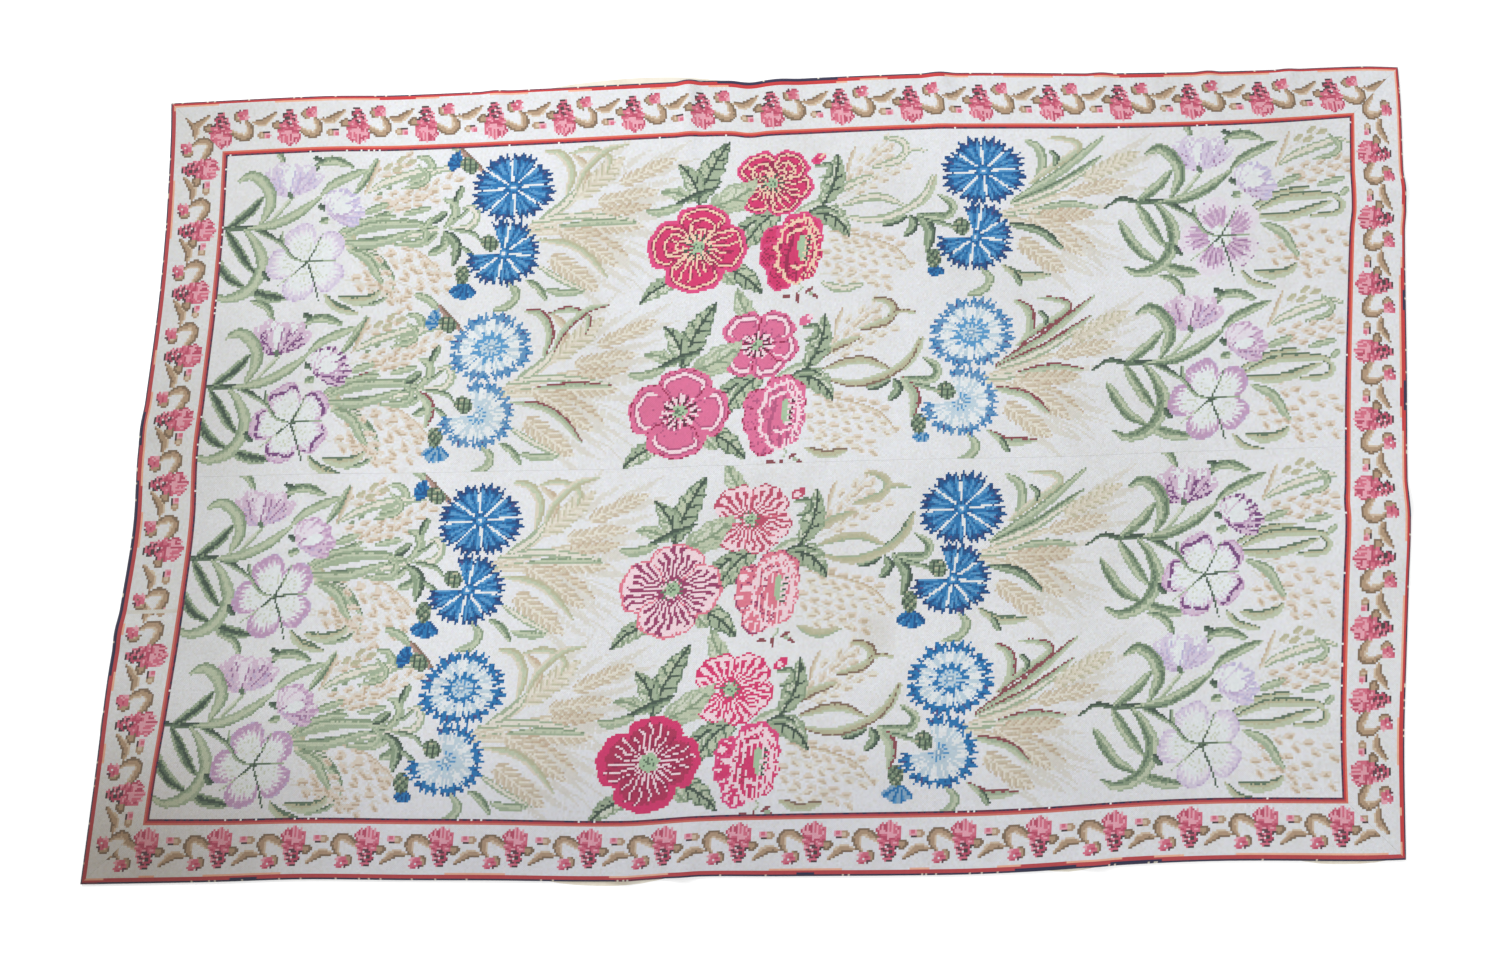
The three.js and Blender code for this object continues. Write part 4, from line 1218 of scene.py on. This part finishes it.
# How far the lining reaches past the hem
LINING_REACH = {
    "near": {
        "at": (0, 0.33, 0.37, 0.42, 0.47, 0.71, 0.75, 0.79, 0.9, 0.94, 0.98, 1),
        "value": (-9, -8, 5, 7, -6, -8, 5, -4, -7, 5, 3, -5),
    },
    "far": {
        "at": (0, 0.28, 0.33, 0.38, 0.42, 0.45, 0.49, 1),
        "value": (-9, -8, 7, 13, 10, 2, -8, -9),
    },
    "left": {
        "at": (0, 0.15, 0.19, 0.23, 1),
        "value": (-9, -6, 4, -6, -9),
    },
    "right": {
        "at": (0, 0.05, 1),
        "value": (-5, -8, -9),
    },
}


def lerp(a, b, t):
    """The value that lies this share of the way from a to b."""
    return a + (b - a) * t


def smoothstep(value, low, high):
    """From 0 at low to 1 at high, level at both ends."""
    t = np.clip((value - low) / (high - low), 0, 1)
    return t * t * (3 - 2 * t)


def read_table(table, at):
    """A smooth curve through the values of a table, read at many places."""
    places, out = np.array(table["at"], float), np.array(table["value"], float)
    before = np.concatenate([[0], np.arange(len(places) - 1)])
    after = np.minimum(np.arange(len(places)) + 1, len(places) - 1)
    slopes = (out[after] - out[before]) / (places[after] - places[before])
    k = np.clip(np.searchsorted(places, at, side="left") - 1, 0, len(places) - 2)
    span = places[k + 1] - places[k]
    u = np.clip((at - places[k]) / span, 0, 1)
    rise = u * u * (3 - 2 * u)
    pull = u * (1 - u) * span * ((1 - u) * slopes[k] - u * slopes[k + 1])
    return lerp(out[k], out[k + 1], rise) + pull


def plan_point(along, across):
    """A place of the rug's plan in millimetres, from shares of its length and width."""
    left, right = read_table(EDGE_DRIFT["left"], across), read_table(EDGE_DRIFT["right"], across)
    near, far = read_table(EDGE_DRIFT["near"], along), read_table(EDGE_DRIFT["far"], along)
    x = (along - 0.5) * RUG_LENGTH + (across - 0.5) * FAR_EDGE_SHIFT + lerp(-left, right, along)
    y = (across - 0.5) * RUG_WIDTH + lerp(-near, far, across)
    return x + CENTRE_SHIFT[0], y + CENTRE_SHIFT[1]


def field_point(u, v):
    """A place inside the border's seam, as shares of the whole rug."""
    width = {side: BORDER_WIDTH + read_table(BORDER_EXTRA[side], v) for side in ("left", "right")}
    width |= {side: BORDER_WIDTH + read_table(BORDER_EXTRA[side], u) for side in ("near", "far")}
    along = lerp(width["left"] / RUG_LENGTH, 1 - width["right"] / RUG_LENGTH, u)
    across = lerp(width["near"] / RUG_WIDTH, 1 - width["far"] / RUG_WIDTH, v)
    return along, across


def lift(along, across):
    """How high the cloth stands off the lining."""
    height = np.zeros(np.broadcast(along, across).shape)
    sides = {
        "near": (along, RUG_LENGTH, across * RUG_WIDTH),
        "far": (along, RUG_LENGTH, (1 - across) * RUG_WIDTH),
        "left": (across, RUG_WIDTH, along * RUG_LENGTH),
        "right": (across, RUG_WIDTH, (1 - along) * RUG_LENGTH),
    }
    for row in RIPPLES:
        place, length, inwards = sides[row["side"]]
        beside = np.clip(np.abs(place - row["at"]) * length / row["half_width"], 0, 1)
        fade = 1 - smoothstep(inwards, 0, row["reach"])
        height += row["tall"] * np.cos(beside * math.pi / 2) ** 2 * fade
    for row in SWELLS:
        distance = np.hypot((along - row["along"]) * RUG_LENGTH, (across - row["across"]) * RUG_WIDTH)
        height += row["tall"] * (1 - smoothstep(distance, 0, row["radius"]))
    return height


def points_of(along, across, above):
    """Points in metres, this many millimetres above the cloth's underside."""
    x, y = plan_point(along, across)
    z = UNDERSIDE + lift(along, across) + above
    return np.stack(np.broadcast_arrays(x, y, z), -1).reshape(-1, 3) * 0.001


# Meshes. The lowest strip of each piece's map, this share of its height, holds its unseen faces.
STITCH_STRIP = 0.03
# How far single stitches stray from their yarn in lightness and in hue
SHADE_SPREAD, TINT_SPREAD = 0.026, 0.012


def linear(rgb):
    """A colour as light, from a colour as seen on a screen."""
    share = np.array(rgb, float) / 255
    return np.where(share < 0.04045, share / 12.92, ((share + 0.055) / 1.055) ** 2.4)


YARN_COLOURS = np.array([linear(rgb) for rgb in YARNS.values()])


def make_piece(name, vertices, faces, top_count, colours, stitches, share, material, node):
    """One closed sheet. The first faces are its top, with a colour, stitch places and a map place each."""
    mesh = bpy.data.meshes.new(name)
    mesh.from_pydata(vertices.tolist(), [], faces)
    others = faces[top_count:]
    sizes = np.array([len(face) for face in faces])
    colour = np.vstack([colours, np.tile(YARN_COLOURS[YARN["ground_warm"]], (len(others), 1))])
    layer = mesh.color_attributes.new("yarn", "FLOAT_COLOR", "CORNER")
    rgba = np.ones((sizes.sum(), 4), np.float32)
    rgba[:, :3] = np.repeat(colour, sizes, axis=0)
    layer.data.foreach_set("color", rgba.ravel())
    # Each face that is not on the top has a small spot of its own in the map's lowest strip
    turns = np.concatenate([np.arange(len(face)) / len(face) for face in others])
    index = np.repeat(np.arange(len(others)), sizes[top_count:])
    spot_u = (index + 0.5 + 0.45 * np.cos(2 * math.pi * turns)) / len(others)
    spot_v = STITCH_STRIP * (0.45 + 0.4 * np.sin(2 * math.pi * turns))
    plain = np.stack([spot_u, spot_v], -1)
    share = share * (1, 1 - STITCH_STRIP) + (0, STITCH_STRIP)
    baked = mesh.uv_layers.new(name="OFBake")
    baked.data.foreach_set("uv", np.vstack([share, plain]).astype(np.float32).ravel())
    counted = mesh.uv_layers.new(name="stitches")
    counted.data.foreach_set("uv", np.vstack([stitches, plain]).astype(np.float32).ravel())
    mesh.materials.append(material)
    piece = bpy.data.objects.new(name, mesh)
    bpy.context.scene.collection.objects.link(piece)
    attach(piece, "root")
    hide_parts(node)
    return piece


def underneath(sides, grid_shape, start):
    """Faces of a coarse underside, and of the walls between it and the four rows of top points."""
    along, across = grid_shape
    under = start + np.arange((along + 1) * (across + 1)).reshape(along + 1, across + 1)
    faces = []
    for i in range(along):
        for j in range(across):
            faces.append((under[i, j], under[i, j + 1], under[i + 1, j + 1], under[i + 1, j]))
    rims = (under[:, 0], under[-1, :], under[::-1, -1], under[0, ::-1])
    for rim, top in zip(rims, sides):
        stops = np.round(np.linspace(0, len(top) - 1, len(rim))).astype(int)
        for k in range(len(rim) - 1):
            above = top[stops[k] : stops[k + 1] + 1][::-1]
            faces.append((rim[k], rim[k + 1], *above))
    return [tuple(int(i) for i in face) for face in faces]


def field_band(name, chart, first_row, node, material):
    """A quarter of the field, one quad for each stitch. Rows count from the field's far edge."""
    rows, columns = BAND_ROWS, FIELD_COLUMNS
    gap_u = SEAM_GAP / 2 / (RUG_LENGTH - 2 * BORDER_WIDTH)
    gap_v = SEAM_GAP / 2 / (RUG_WIDTH - 2 * BORDER_WIDTH)
    u = np.clip(np.arange(columns + 1) / columns, gap_u, 1 - gap_u)
    v = 1 - (first_row + np.arange(rows + 1)) / FIELD_ROWS
    if first_row % (2 * BAND_ROWS) == 0:
        v[0] -= gap_v
    else:
        v[-1] += gap_v
    u, v = np.meshgrid(u, v)
    top = points_of(*field_point(u, v), CANVAS_THICKNESS)
    index = np.arange((rows + 1) * (columns + 1)).reshape(rows + 1, columns + 1)
    quads = np.stack([index[1:, :-1], index[1:, 1:], index[:-1, 1:], index[:-1, :-1]], -1).reshape(-1, 4)
    along, across = columns // UNDER_STEP, BAND_UNDER_ROWS
    near_u = u[0][np.round(np.linspace(0, columns, along + 1)).astype(int)]
    near_v = v[:, 0][np.round(np.linspace(rows, 0, across + 1)).astype(int)]
    low_u, low_v = np.meshgrid(near_u, near_v, indexing="ij")
    below = points_of(*field_point(low_u, low_v), 0)
    sides = (index[-1, :], index[::-1, -1], index[0, ::-1], index[:, 0])
    faces = quads.tolist() + underneath(sides, (along, across), len(top))
    part = chart.yarn[first_row % (2 * BAND_ROWS) :][:rows]
    x, y = np.meshgrid(np.arange(columns + 1.0), np.arange(rows + 1.0))
    corners = np.stack([x, y], -1).reshape(-1, 2)[quads.ravel()]
    share = corners / (columns, rows) * (1, -1) + (0, 1)
    colours = dyed(part.ravel(), first_row + 5)
    vertices = np.vstack([top, below])
    return make_piece(
        name, vertices, faces, len(quads), colours, corners, share, material, node
    )


def dyed(numbers, seed):
    """Each stitch's colour, a little lighter or darker than its yarn's."""
    random = np.random.default_rng(seed)
    shade = 1 + SHADE_SPREAD * random.standard_normal((len(numbers), 1))
    tint = 1 + TINT_SPREAD * random.standard_normal((len(numbers), 3))
    return np.clip(YARN_COLOURS[numbers] * shade * tint, 0, 1)


STRIP_SEEDS = {"far": 3, "right": 5, "near": 7, "left": 11}


def border_strip(name, side, corner, next_corner, material, node):
    """One mitred strip, one quad for each stitch, with a triangle at each end of every row."""
    length = RUG_COLUMNS if side in ("far", "near") else RUG_ROWS
    chart = paint_strip(side, length, STRIP_SEEDS[side])
    corner, next_corner = np.array(corner, float), np.array(next_corner, float)
    mitre = SEAM_GAP / math.sqrt(2) / (RUG_LENGTH if length == RUG_COLUMNS else RUG_WIDTH)

    def ring(depth, f, surface):
        from_edge = np.minimum(depth / BORDER_STITCHES * BORDER_WIDTH, BORDER_WIDTH - SEAM_GAP / 2)
        outer = corner + (next_corner - corner) * np.clip(f, mitre, 1 - mitre)[:, None]
        inner = np.stack(field_point(outer[:, 0], outer[:, 1]), -1)
        place = lerp(outer, inner, from_edge / BORDER_WIDTH)
        above = np.interp(from_edge, HEM_SECTION["in"], HEM_SECTION[surface])
        return points_of(place[:, 0], place[:, 1], above)

    rings, starts, total = [], [], 0
    for depth in range(BORDER_STITCHES + 1):
        count = length - 2 * depth + 1
        rings.append(ring(depth, np.arange(count) / (count - 1), "top"))
        starts.append(total - depth)
        total += count
    faces, cells, corners = [], [], []
    for depth in range(BORDER_STITCHES):
        first, last = starts[depth], starts[depth + 1]
        for x in range(depth, length - depth):
            if depth < x < length - depth - 1:
                face = (first + x, last + x, last + x + 1, first + x + 1)
                corners += [(x, depth), (x, depth + 1), (x + 1, depth + 1), (x + 1, depth)]
            elif x == depth:
                face = (first + x, last + x + 1, first + x + 1)
                corners += [(x, depth), (x + 1, depth + 1), (x + 1, depth)]
            else:
                face = (first + x, last + x, first + x + 1)
                corners += [(x, depth), (x, depth + 1), (x + 1, depth)]
            faces.append(face)
            cells.append(chart.yarn[depth, x])
    top_count = len(faces)
    along = length // (UNDER_STEP if length == RUG_COLUMNS else SHORT_UNDER_STEP)
    levels = np.linspace(BORDER_STITCHES, 0, BORDER_UNDER_ROWS + 1)
    low = [ring(depth, np.arange(along + 1) / along, "under") for depth in levels]
    starts = np.array(starts)
    down = np.arange(BORDER_STITCHES + 1)
    inner = starts[-1] + np.arange(BORDER_STITCHES, length - BORDER_STITCHES + 1)
    outer = starts[0] + np.arange(length + 1)
    sides = (inner, (starts + length - down)[::-1], outer[::-1], starts + down)
    faces += underneath(sides, (along, BORDER_UNDER_ROWS), total)
    corners = np.array(corners, float)
    share = corners / (length, BORDER_STITCHES) * (1, -1) + (0, 1)
    colours = dyed(np.array(cells), length + ord(side[0]))
    vertices = np.vstack(rings + [np.stack(low, 1).reshape(-1, 3)])
    return make_piece(
        name, vertices, faces, top_count, colours, corners, share, material, node
    )


LINING_COLOUR = (226, 220, 206)


def lining(material):
    """The thin cloth under the rug, which shows where it reaches past the hem."""
    along, across = LINING_QUADS
    u, v = np.meshgrid(np.arange(along + 1) / along, np.arange(across + 1) / across)
    left = -read_table(LINING_REACH["left"], v) / RUG_LENGTH
    right = 1 + read_table(LINING_REACH["right"], v) / RUG_LENGTH
    near = -read_table(LINING_REACH["near"], u) / RUG_WIDTH
    far = 1 + read_table(LINING_REACH["far"], u) / RUG_WIDTH
    x, y = plan_point(lerp(left, right, u), lerp(near, far, v))
    flat = np.stack([x, y], -1).reshape(-1, 2) * 0.001
    count = len(flat)
    top = np.column_stack([flat, np.full(count, LINING_THICKNESS * 0.001)])
    low = np.column_stack([flat, np.zeros(count)])
    index = np.arange(count).reshape(across + 1, along + 1)
    quads = np.stack([index[:-1, :-1], index[:-1, 1:], index[1:, 1:], index[1:, :-1]], -1).reshape(-1, 4)
    rim = np.concatenate([index[0, :-1], index[:-1, -1], index[-1, :0:-1], index[:0:-1, 0]])
    after = np.roll(rim, -1)
    walls = np.stack([rim + count, after + count, after, rim], -1)
    faces = quads.tolist() + (quads[:, ::-1] + count).tolist() + walls.tolist()
    places = np.stack([u, v], -1).reshape(-1, 2)[quads.ravel()]
    colours = np.tile(linear(LINING_COLOUR), (len(quads), 1))
    vertices = np.vstack([top, low])
    return make_piece(
        "lining_cloth", vertices, faces, len(quads), colours, places * LINING_THREADS, places,
        material, "lining",
    )


# Materials
def add_node(tree, kind, settings, inputs, output=0):
    """A shader node: its settings first, then its sockets, each filled with a number or linked."""
    node = tree.nodes.new("ShaderNode" + kind)
    for name, value in settings.items():
        setattr(node, name, value)
    for name, value in inputs.items():
        if isinstance(value, Value):
            tree.links.new(value.socket, node.inputs[name])
        else:
            node.inputs[name].default_value = value
    return Value(tree, node.outputs[output])


class Value:
    """A shader value. Sums and products of values add math nodes."""

    def __init__(self, tree, socket):
        self.tree, self.socket = tree, socket

    def math(self, operation, *others):
        inputs = dict(enumerate((self, *others)))
        return add_node(self.tree, "Math", {"operation": operation}, inputs)

    def __add__(self, other):
        return self.math("ADD", other)

    def __sub__(self, other):
        return self.math("SUBTRACT", other)

    def __mul__(self, other):
        return self.math("MULTIPLY", other)

    def __rsub__(self, other):
        return (self * -1) + other

    __radd__, __rmul__ = __add__, __mul__

    def ramp(self, low, high, out_low, out_high):
        """A smooth change from one number to another while this value goes from low to high."""
        inputs = {"Value": self, "From Min": low, "From Max": high, "To Min": out_low, "To Max": out_high}
        return add_node(self.tree, "MapRange", {"interpolation_type": "SMOOTHSTEP"}, inputs, "Result")


class Surface:
    """A principled material under construction."""

    def __init__(self, name, roughness, **constants):
        self.material = bpy.data.materials.new(name)
        self.material.use_nodes = True
        self.tree = self.material.node_tree
        self.shader = self.tree.nodes["Principled BSDF"]
        self.shader.inputs["Roughness"].default_value = roughness
        for socket, value in constants.items():
            self.shader.inputs[socket.replace("_", " ")].default_value = value
        self.object_places = self.node("TexCoord", {}, {}, "Object")

    def node(self, kind, settings, inputs, output=0):
        return add_node(self.tree, kind, settings, inputs, output)

    def noise(self, scale, detail):
        inputs = {"Vector": self.object_places, "Scale": scale, "Detail": detail}
        return self.node("TexNoise", {}, inputs)

    def yarn(self):
        return self.node("VertexColor", {"layer_name": "yarn"}, {})

    def plan(self, places):
        """The first two numbers of a place."""
        x = self.node("SeparateXYZ", {}, {0: places})
        return x, Value(self.tree, x.socket.node.outputs[1])

    def tinted(self, colour, factor, tint):
        settings = {"data_type": "RGBA", "blend_type": "MULTIPLY"}
        return self.node("Mix", settings, {0: factor, 6: colour, 7: (*linear(tint), 1)}, 2)

    def finish(self, colour, height, strength, distance):
        self.tree.links.new(colour.socket, self.shader.inputs["Base Color"])
        bump = self.node("Bump", {}, {"Height": height, "Strength": strength, "Distance": distance})
        self.tree.links.new(bump.socket, self.shader.inputs["Normal"])
        return self.material


# A faint round stain, in metres on the floor plan
STAIN = {"x": 0.21, "y": -0.33, "radius": 0.055, "strength": 0.6, "tint": (236, 231, 220)}
# Slow changes of tone in the wool: a noise, where its tint begins and is strongest, and how strong it gets
WOOL_TONES = (
    {"scale": 2.2, "detail": 3, "low": 0.35, "high": 0.7, "most": 0.5, "tint": (238, 237, 233)},
    {"scale": 14, "detail": 4, "low": 0.45, "high": 0.75, "most": 0.35, "tint": (241, 239, 235)},
)
# Painted shade: the wool is a little greyer towards the left and near sides, where less light falls, from
# the first place to the second, in metres
LEFT_PAINTED_SHADE = {"edge": -1.28, "end": -0.62, "tint": (220, 219, 216)}
NEAR_PAINTED_SHADE = {"edge": -0.76, "end": -0.36, "tint": (227, 226, 229)}
# The near side's painted shade weakens towards the right, down to this share
NEAR_SHADE_FADE = {"start": -0.5, "end": 1.2, "share": 0.35}
# Extra painted shade in the near left corner
CORNER_PAINTED_SHADE = (228, 220, 206)
# Painted shade in the furrows between stitches
FURROW_PAINTED_SHADE = (214, 208, 200)


def stain(surface, x, y, radius):
    """From 1 at a stain's middle to 0 past its rim, in metres on the floor plan."""
    offset = surface.node("VectorMath", {"operation": "SUBTRACT"}, {0: surface.object_places, 1: (x, y, 0)})
    flat = surface.node("VectorMath", {"operation": "MULTIPLY"}, {0: offset, 1: (1, 1, 0)})
    length = surface.node("VectorMath", {"operation": "LENGTH"}, {0: flat}, 1)
    return length.ramp(0.3 * radius, radius, 1, 0)


def wool(name):
    """Tent stitches in matt wool: slanted ridges, fuzz, a slow drift of tone and a faint stain, with painted
    shade in the furrows between stitches and towards the left and near sides.
    """
    surface = Surface(name, 0.95, Sheen_Weight=0.08, Sheen_Roughness=0.6)
    x, y = surface.plan(surface.node("UVMap", {"uv_map": "stitches"}, {}))
    slant = ((x + y) * (2 * math.pi)).math("COSINE")
    notch = ((x - y) * (2 * math.pi)).math("COSINE")
    height = slant * -0.3 + notch * 0.12 + surface.noise(900, 2) * 0.5
    colour = surface.yarn()
    for tone in WOOL_TONES:
        drift = surface.noise(tone["scale"], tone["detail"])
        drift = drift.ramp(tone["low"], tone["high"], 0, tone["most"])
        colour = surface.tinted(colour, drift, tone["tint"])
    spot = stain(surface, STAIN["x"], STAIN["y"], STAIN["radius"])
    colour = surface.tinted(colour, spot * STAIN["strength"], STAIN["tint"])
    # Painted shade: darker towards the left and near sides, where less light falls, and most in the near
    # left corner
    right, away = surface.plan(surface.object_places)
    left = right.ramp(LEFT_PAINTED_SHADE["edge"], LEFT_PAINTED_SHADE["end"], 1, 0)
    near = away.ramp(NEAR_PAINTED_SHADE["edge"], NEAR_PAINTED_SHADE["end"], 1, 0)
    near = near * right.ramp(NEAR_SHADE_FADE["start"], NEAR_SHADE_FADE["end"], 1, NEAR_SHADE_FADE["share"])
    colour = surface.tinted(colour, left, LEFT_PAINTED_SHADE["tint"])
    colour = surface.tinted(colour, near, NEAR_PAINTED_SHADE["tint"])
    colour = surface.tinted(colour, left * near, CORNER_PAINTED_SHADE)
    # Painted shade: the wool is darker in the furrows between the stitches
    furrow_shade = (slant * 0.04 + notch * -0.03).ramp(-0.07, 0.07, 0.4, 0)
    colour = surface.tinted(colour, furrow_shade, FURROW_PAINTED_SHADE)
    return surface.finish(colour, height, strength=0.35, distance=0.0012)


def linen():
    """Plain off-white linen with faint blots."""
    surface = Surface("lining linen", 0.9)
    blot = surface.noise(30, 3).ramp(0.4, 0.7, 0, 0.4)
    colour = surface.tinted(surface.yarn(), blot, (226, 216, 196))
    return surface.finish(colour, surface.noise(1200, 2), strength=0.3, distance=0.0006)


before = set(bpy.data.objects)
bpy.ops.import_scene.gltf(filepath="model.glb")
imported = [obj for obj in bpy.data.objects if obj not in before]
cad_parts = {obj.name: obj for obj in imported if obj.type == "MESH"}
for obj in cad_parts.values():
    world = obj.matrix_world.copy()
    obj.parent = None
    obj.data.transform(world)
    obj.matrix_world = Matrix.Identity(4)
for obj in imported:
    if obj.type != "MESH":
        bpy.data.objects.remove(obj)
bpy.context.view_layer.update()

FIELD_WOOL = wool("field wool")
BORDER_WOOL = wool("border wool")

lining_piece = lining(linen())

# The field's two panels, each made in two bands
for panel, top in (("far", BORDER_STITCHES), ("near", BORDER_STITCHES + 2 * BAND_ROWS)):
    chart = paint_panel(panel, top)
    for half in (0, 1):
        first_row = top - BORDER_STITCHES + half * BAND_ROWS
        name = f"field_{panel}_band_{half + 1}"
        band = field_band(name, chart, first_row, f"field_panel_{panel}", FIELD_WOOL)

# Seen from above, each strip's pattern runs clockwise, between these corners in shares of the rug
CORNERS = {
    "near": {"start": (1, 0), "end": (0, 0)},
    "right": {"start": (1, 1), "end": (1, 0)},
    "far": {"start": (0, 1), "end": (1, 1)},
    "left": {"start": (0, 0), "end": (0, 1)},
}
for side, row in CORNERS.items():
    name = f"border_{side}_cloth"
    strip = border_strip(name, side, row["start"], row["end"], BORDER_WOOL, f"border_{side}")
    across = RUG_LENGTH if side in ("near", "far") else RUG_WIDTH
    inner = across - 2 * BORDER_WIDTH
    across / 1000
    (across + inner) / 2 * BORDER_WIDTH / 1e6

# Floor, sky and lamps
FLOOR_SIZE = 14
FLOOR_COLOUR = (0.93, 0.93, 0.93, 1)
FLOOR_GLOW = 0.12
SKY_BRIGHTNESS = 0.77
LAMPS = {
    "key": {"place": (-2.2, 2.6, 2.6), "size": 1.6, "power": 95},
    "fill": {"place": (2.6, -1.5, 3.4), "size": 3.0, "power": 33},
}
WHITE = (1, 1, 1, 1)

bpy.ops.mesh.primitive_plane_add(size=FLOOR_SIZE)
floor = bpy.context.object
floor.name = "floor"
floor_surface = Surface("studio floor", 0.9)
floor_surface.shader.inputs["Base Color"].default_value = FLOOR_COLOUR
floor_surface.shader.inputs["Emission Color"].default_value = WHITE
floor_surface.shader.inputs["Emission Strength"].default_value = FLOOR_GLOW
floor.data.materials.append(floor_surface.material)

bpy.context.scene.view_settings.view_transform = "Standard"
world = bpy.context.scene.world or bpy.data.worlds.new("studio")
bpy.context.scene.world = world
world.use_nodes = True
world.node_tree.nodes["Background"].inputs["Color"].default_value = WHITE
world.node_tree.nodes["Background"].inputs["Strength"].default_value = SKY_BRIGHTNESS

for name, row in LAMPS.items():
    bpy.ops.object.light_add(type="AREA", location=row["place"])
    lamp = bpy.context.object
    lamp.name = name
    lamp.data.size = row["size"]
    lamp.data.energy = row["power"]
    toward = -np.array(row["place"])
    lamp.rotation_euler = (
        math.acos(-toward[2] / np.linalg.norm(toward)),
        0,
        math.atan2(toward[1], toward[0]) - math.pi / 2,
    )

# Camera above the near side, tipped a little forward: its place in metres, where it looks and its right
CAMERA = {
    "place": (0.0420, -0.4276, 2.7633),
    "look": (-0.02089, 0.1417, -0.98969),
    "right": (0.9995, -0.02056, -0.02404),
    "lens": 35,
    "sensor": 36,
    "reach": 50,
}
camera_data = bpy.data.cameras.new("photo camera")
camera_data.lens = CAMERA["lens"]
camera_data.sensor_width = CAMERA["sensor"]
camera_data.clip_end = CAMERA["reach"]
camera = bpy.data.objects.new("photo camera", camera_data)
bpy.context.scene.collection.objects.link(camera)
look, right = np.array(CAMERA["look"]), np.array(CAMERA["right"])
look /= np.linalg.norm(look)
right -= look * right.dot(look)
right /= np.linalg.norm(right)
matrix = np.eye(4)
matrix[:3] = np.column_stack([right, np.cross(right, look), -look, CAMERA["place"]])
camera.matrix_world = Matrix(matrix.tolist())
bpy.context.scene.camera = camera
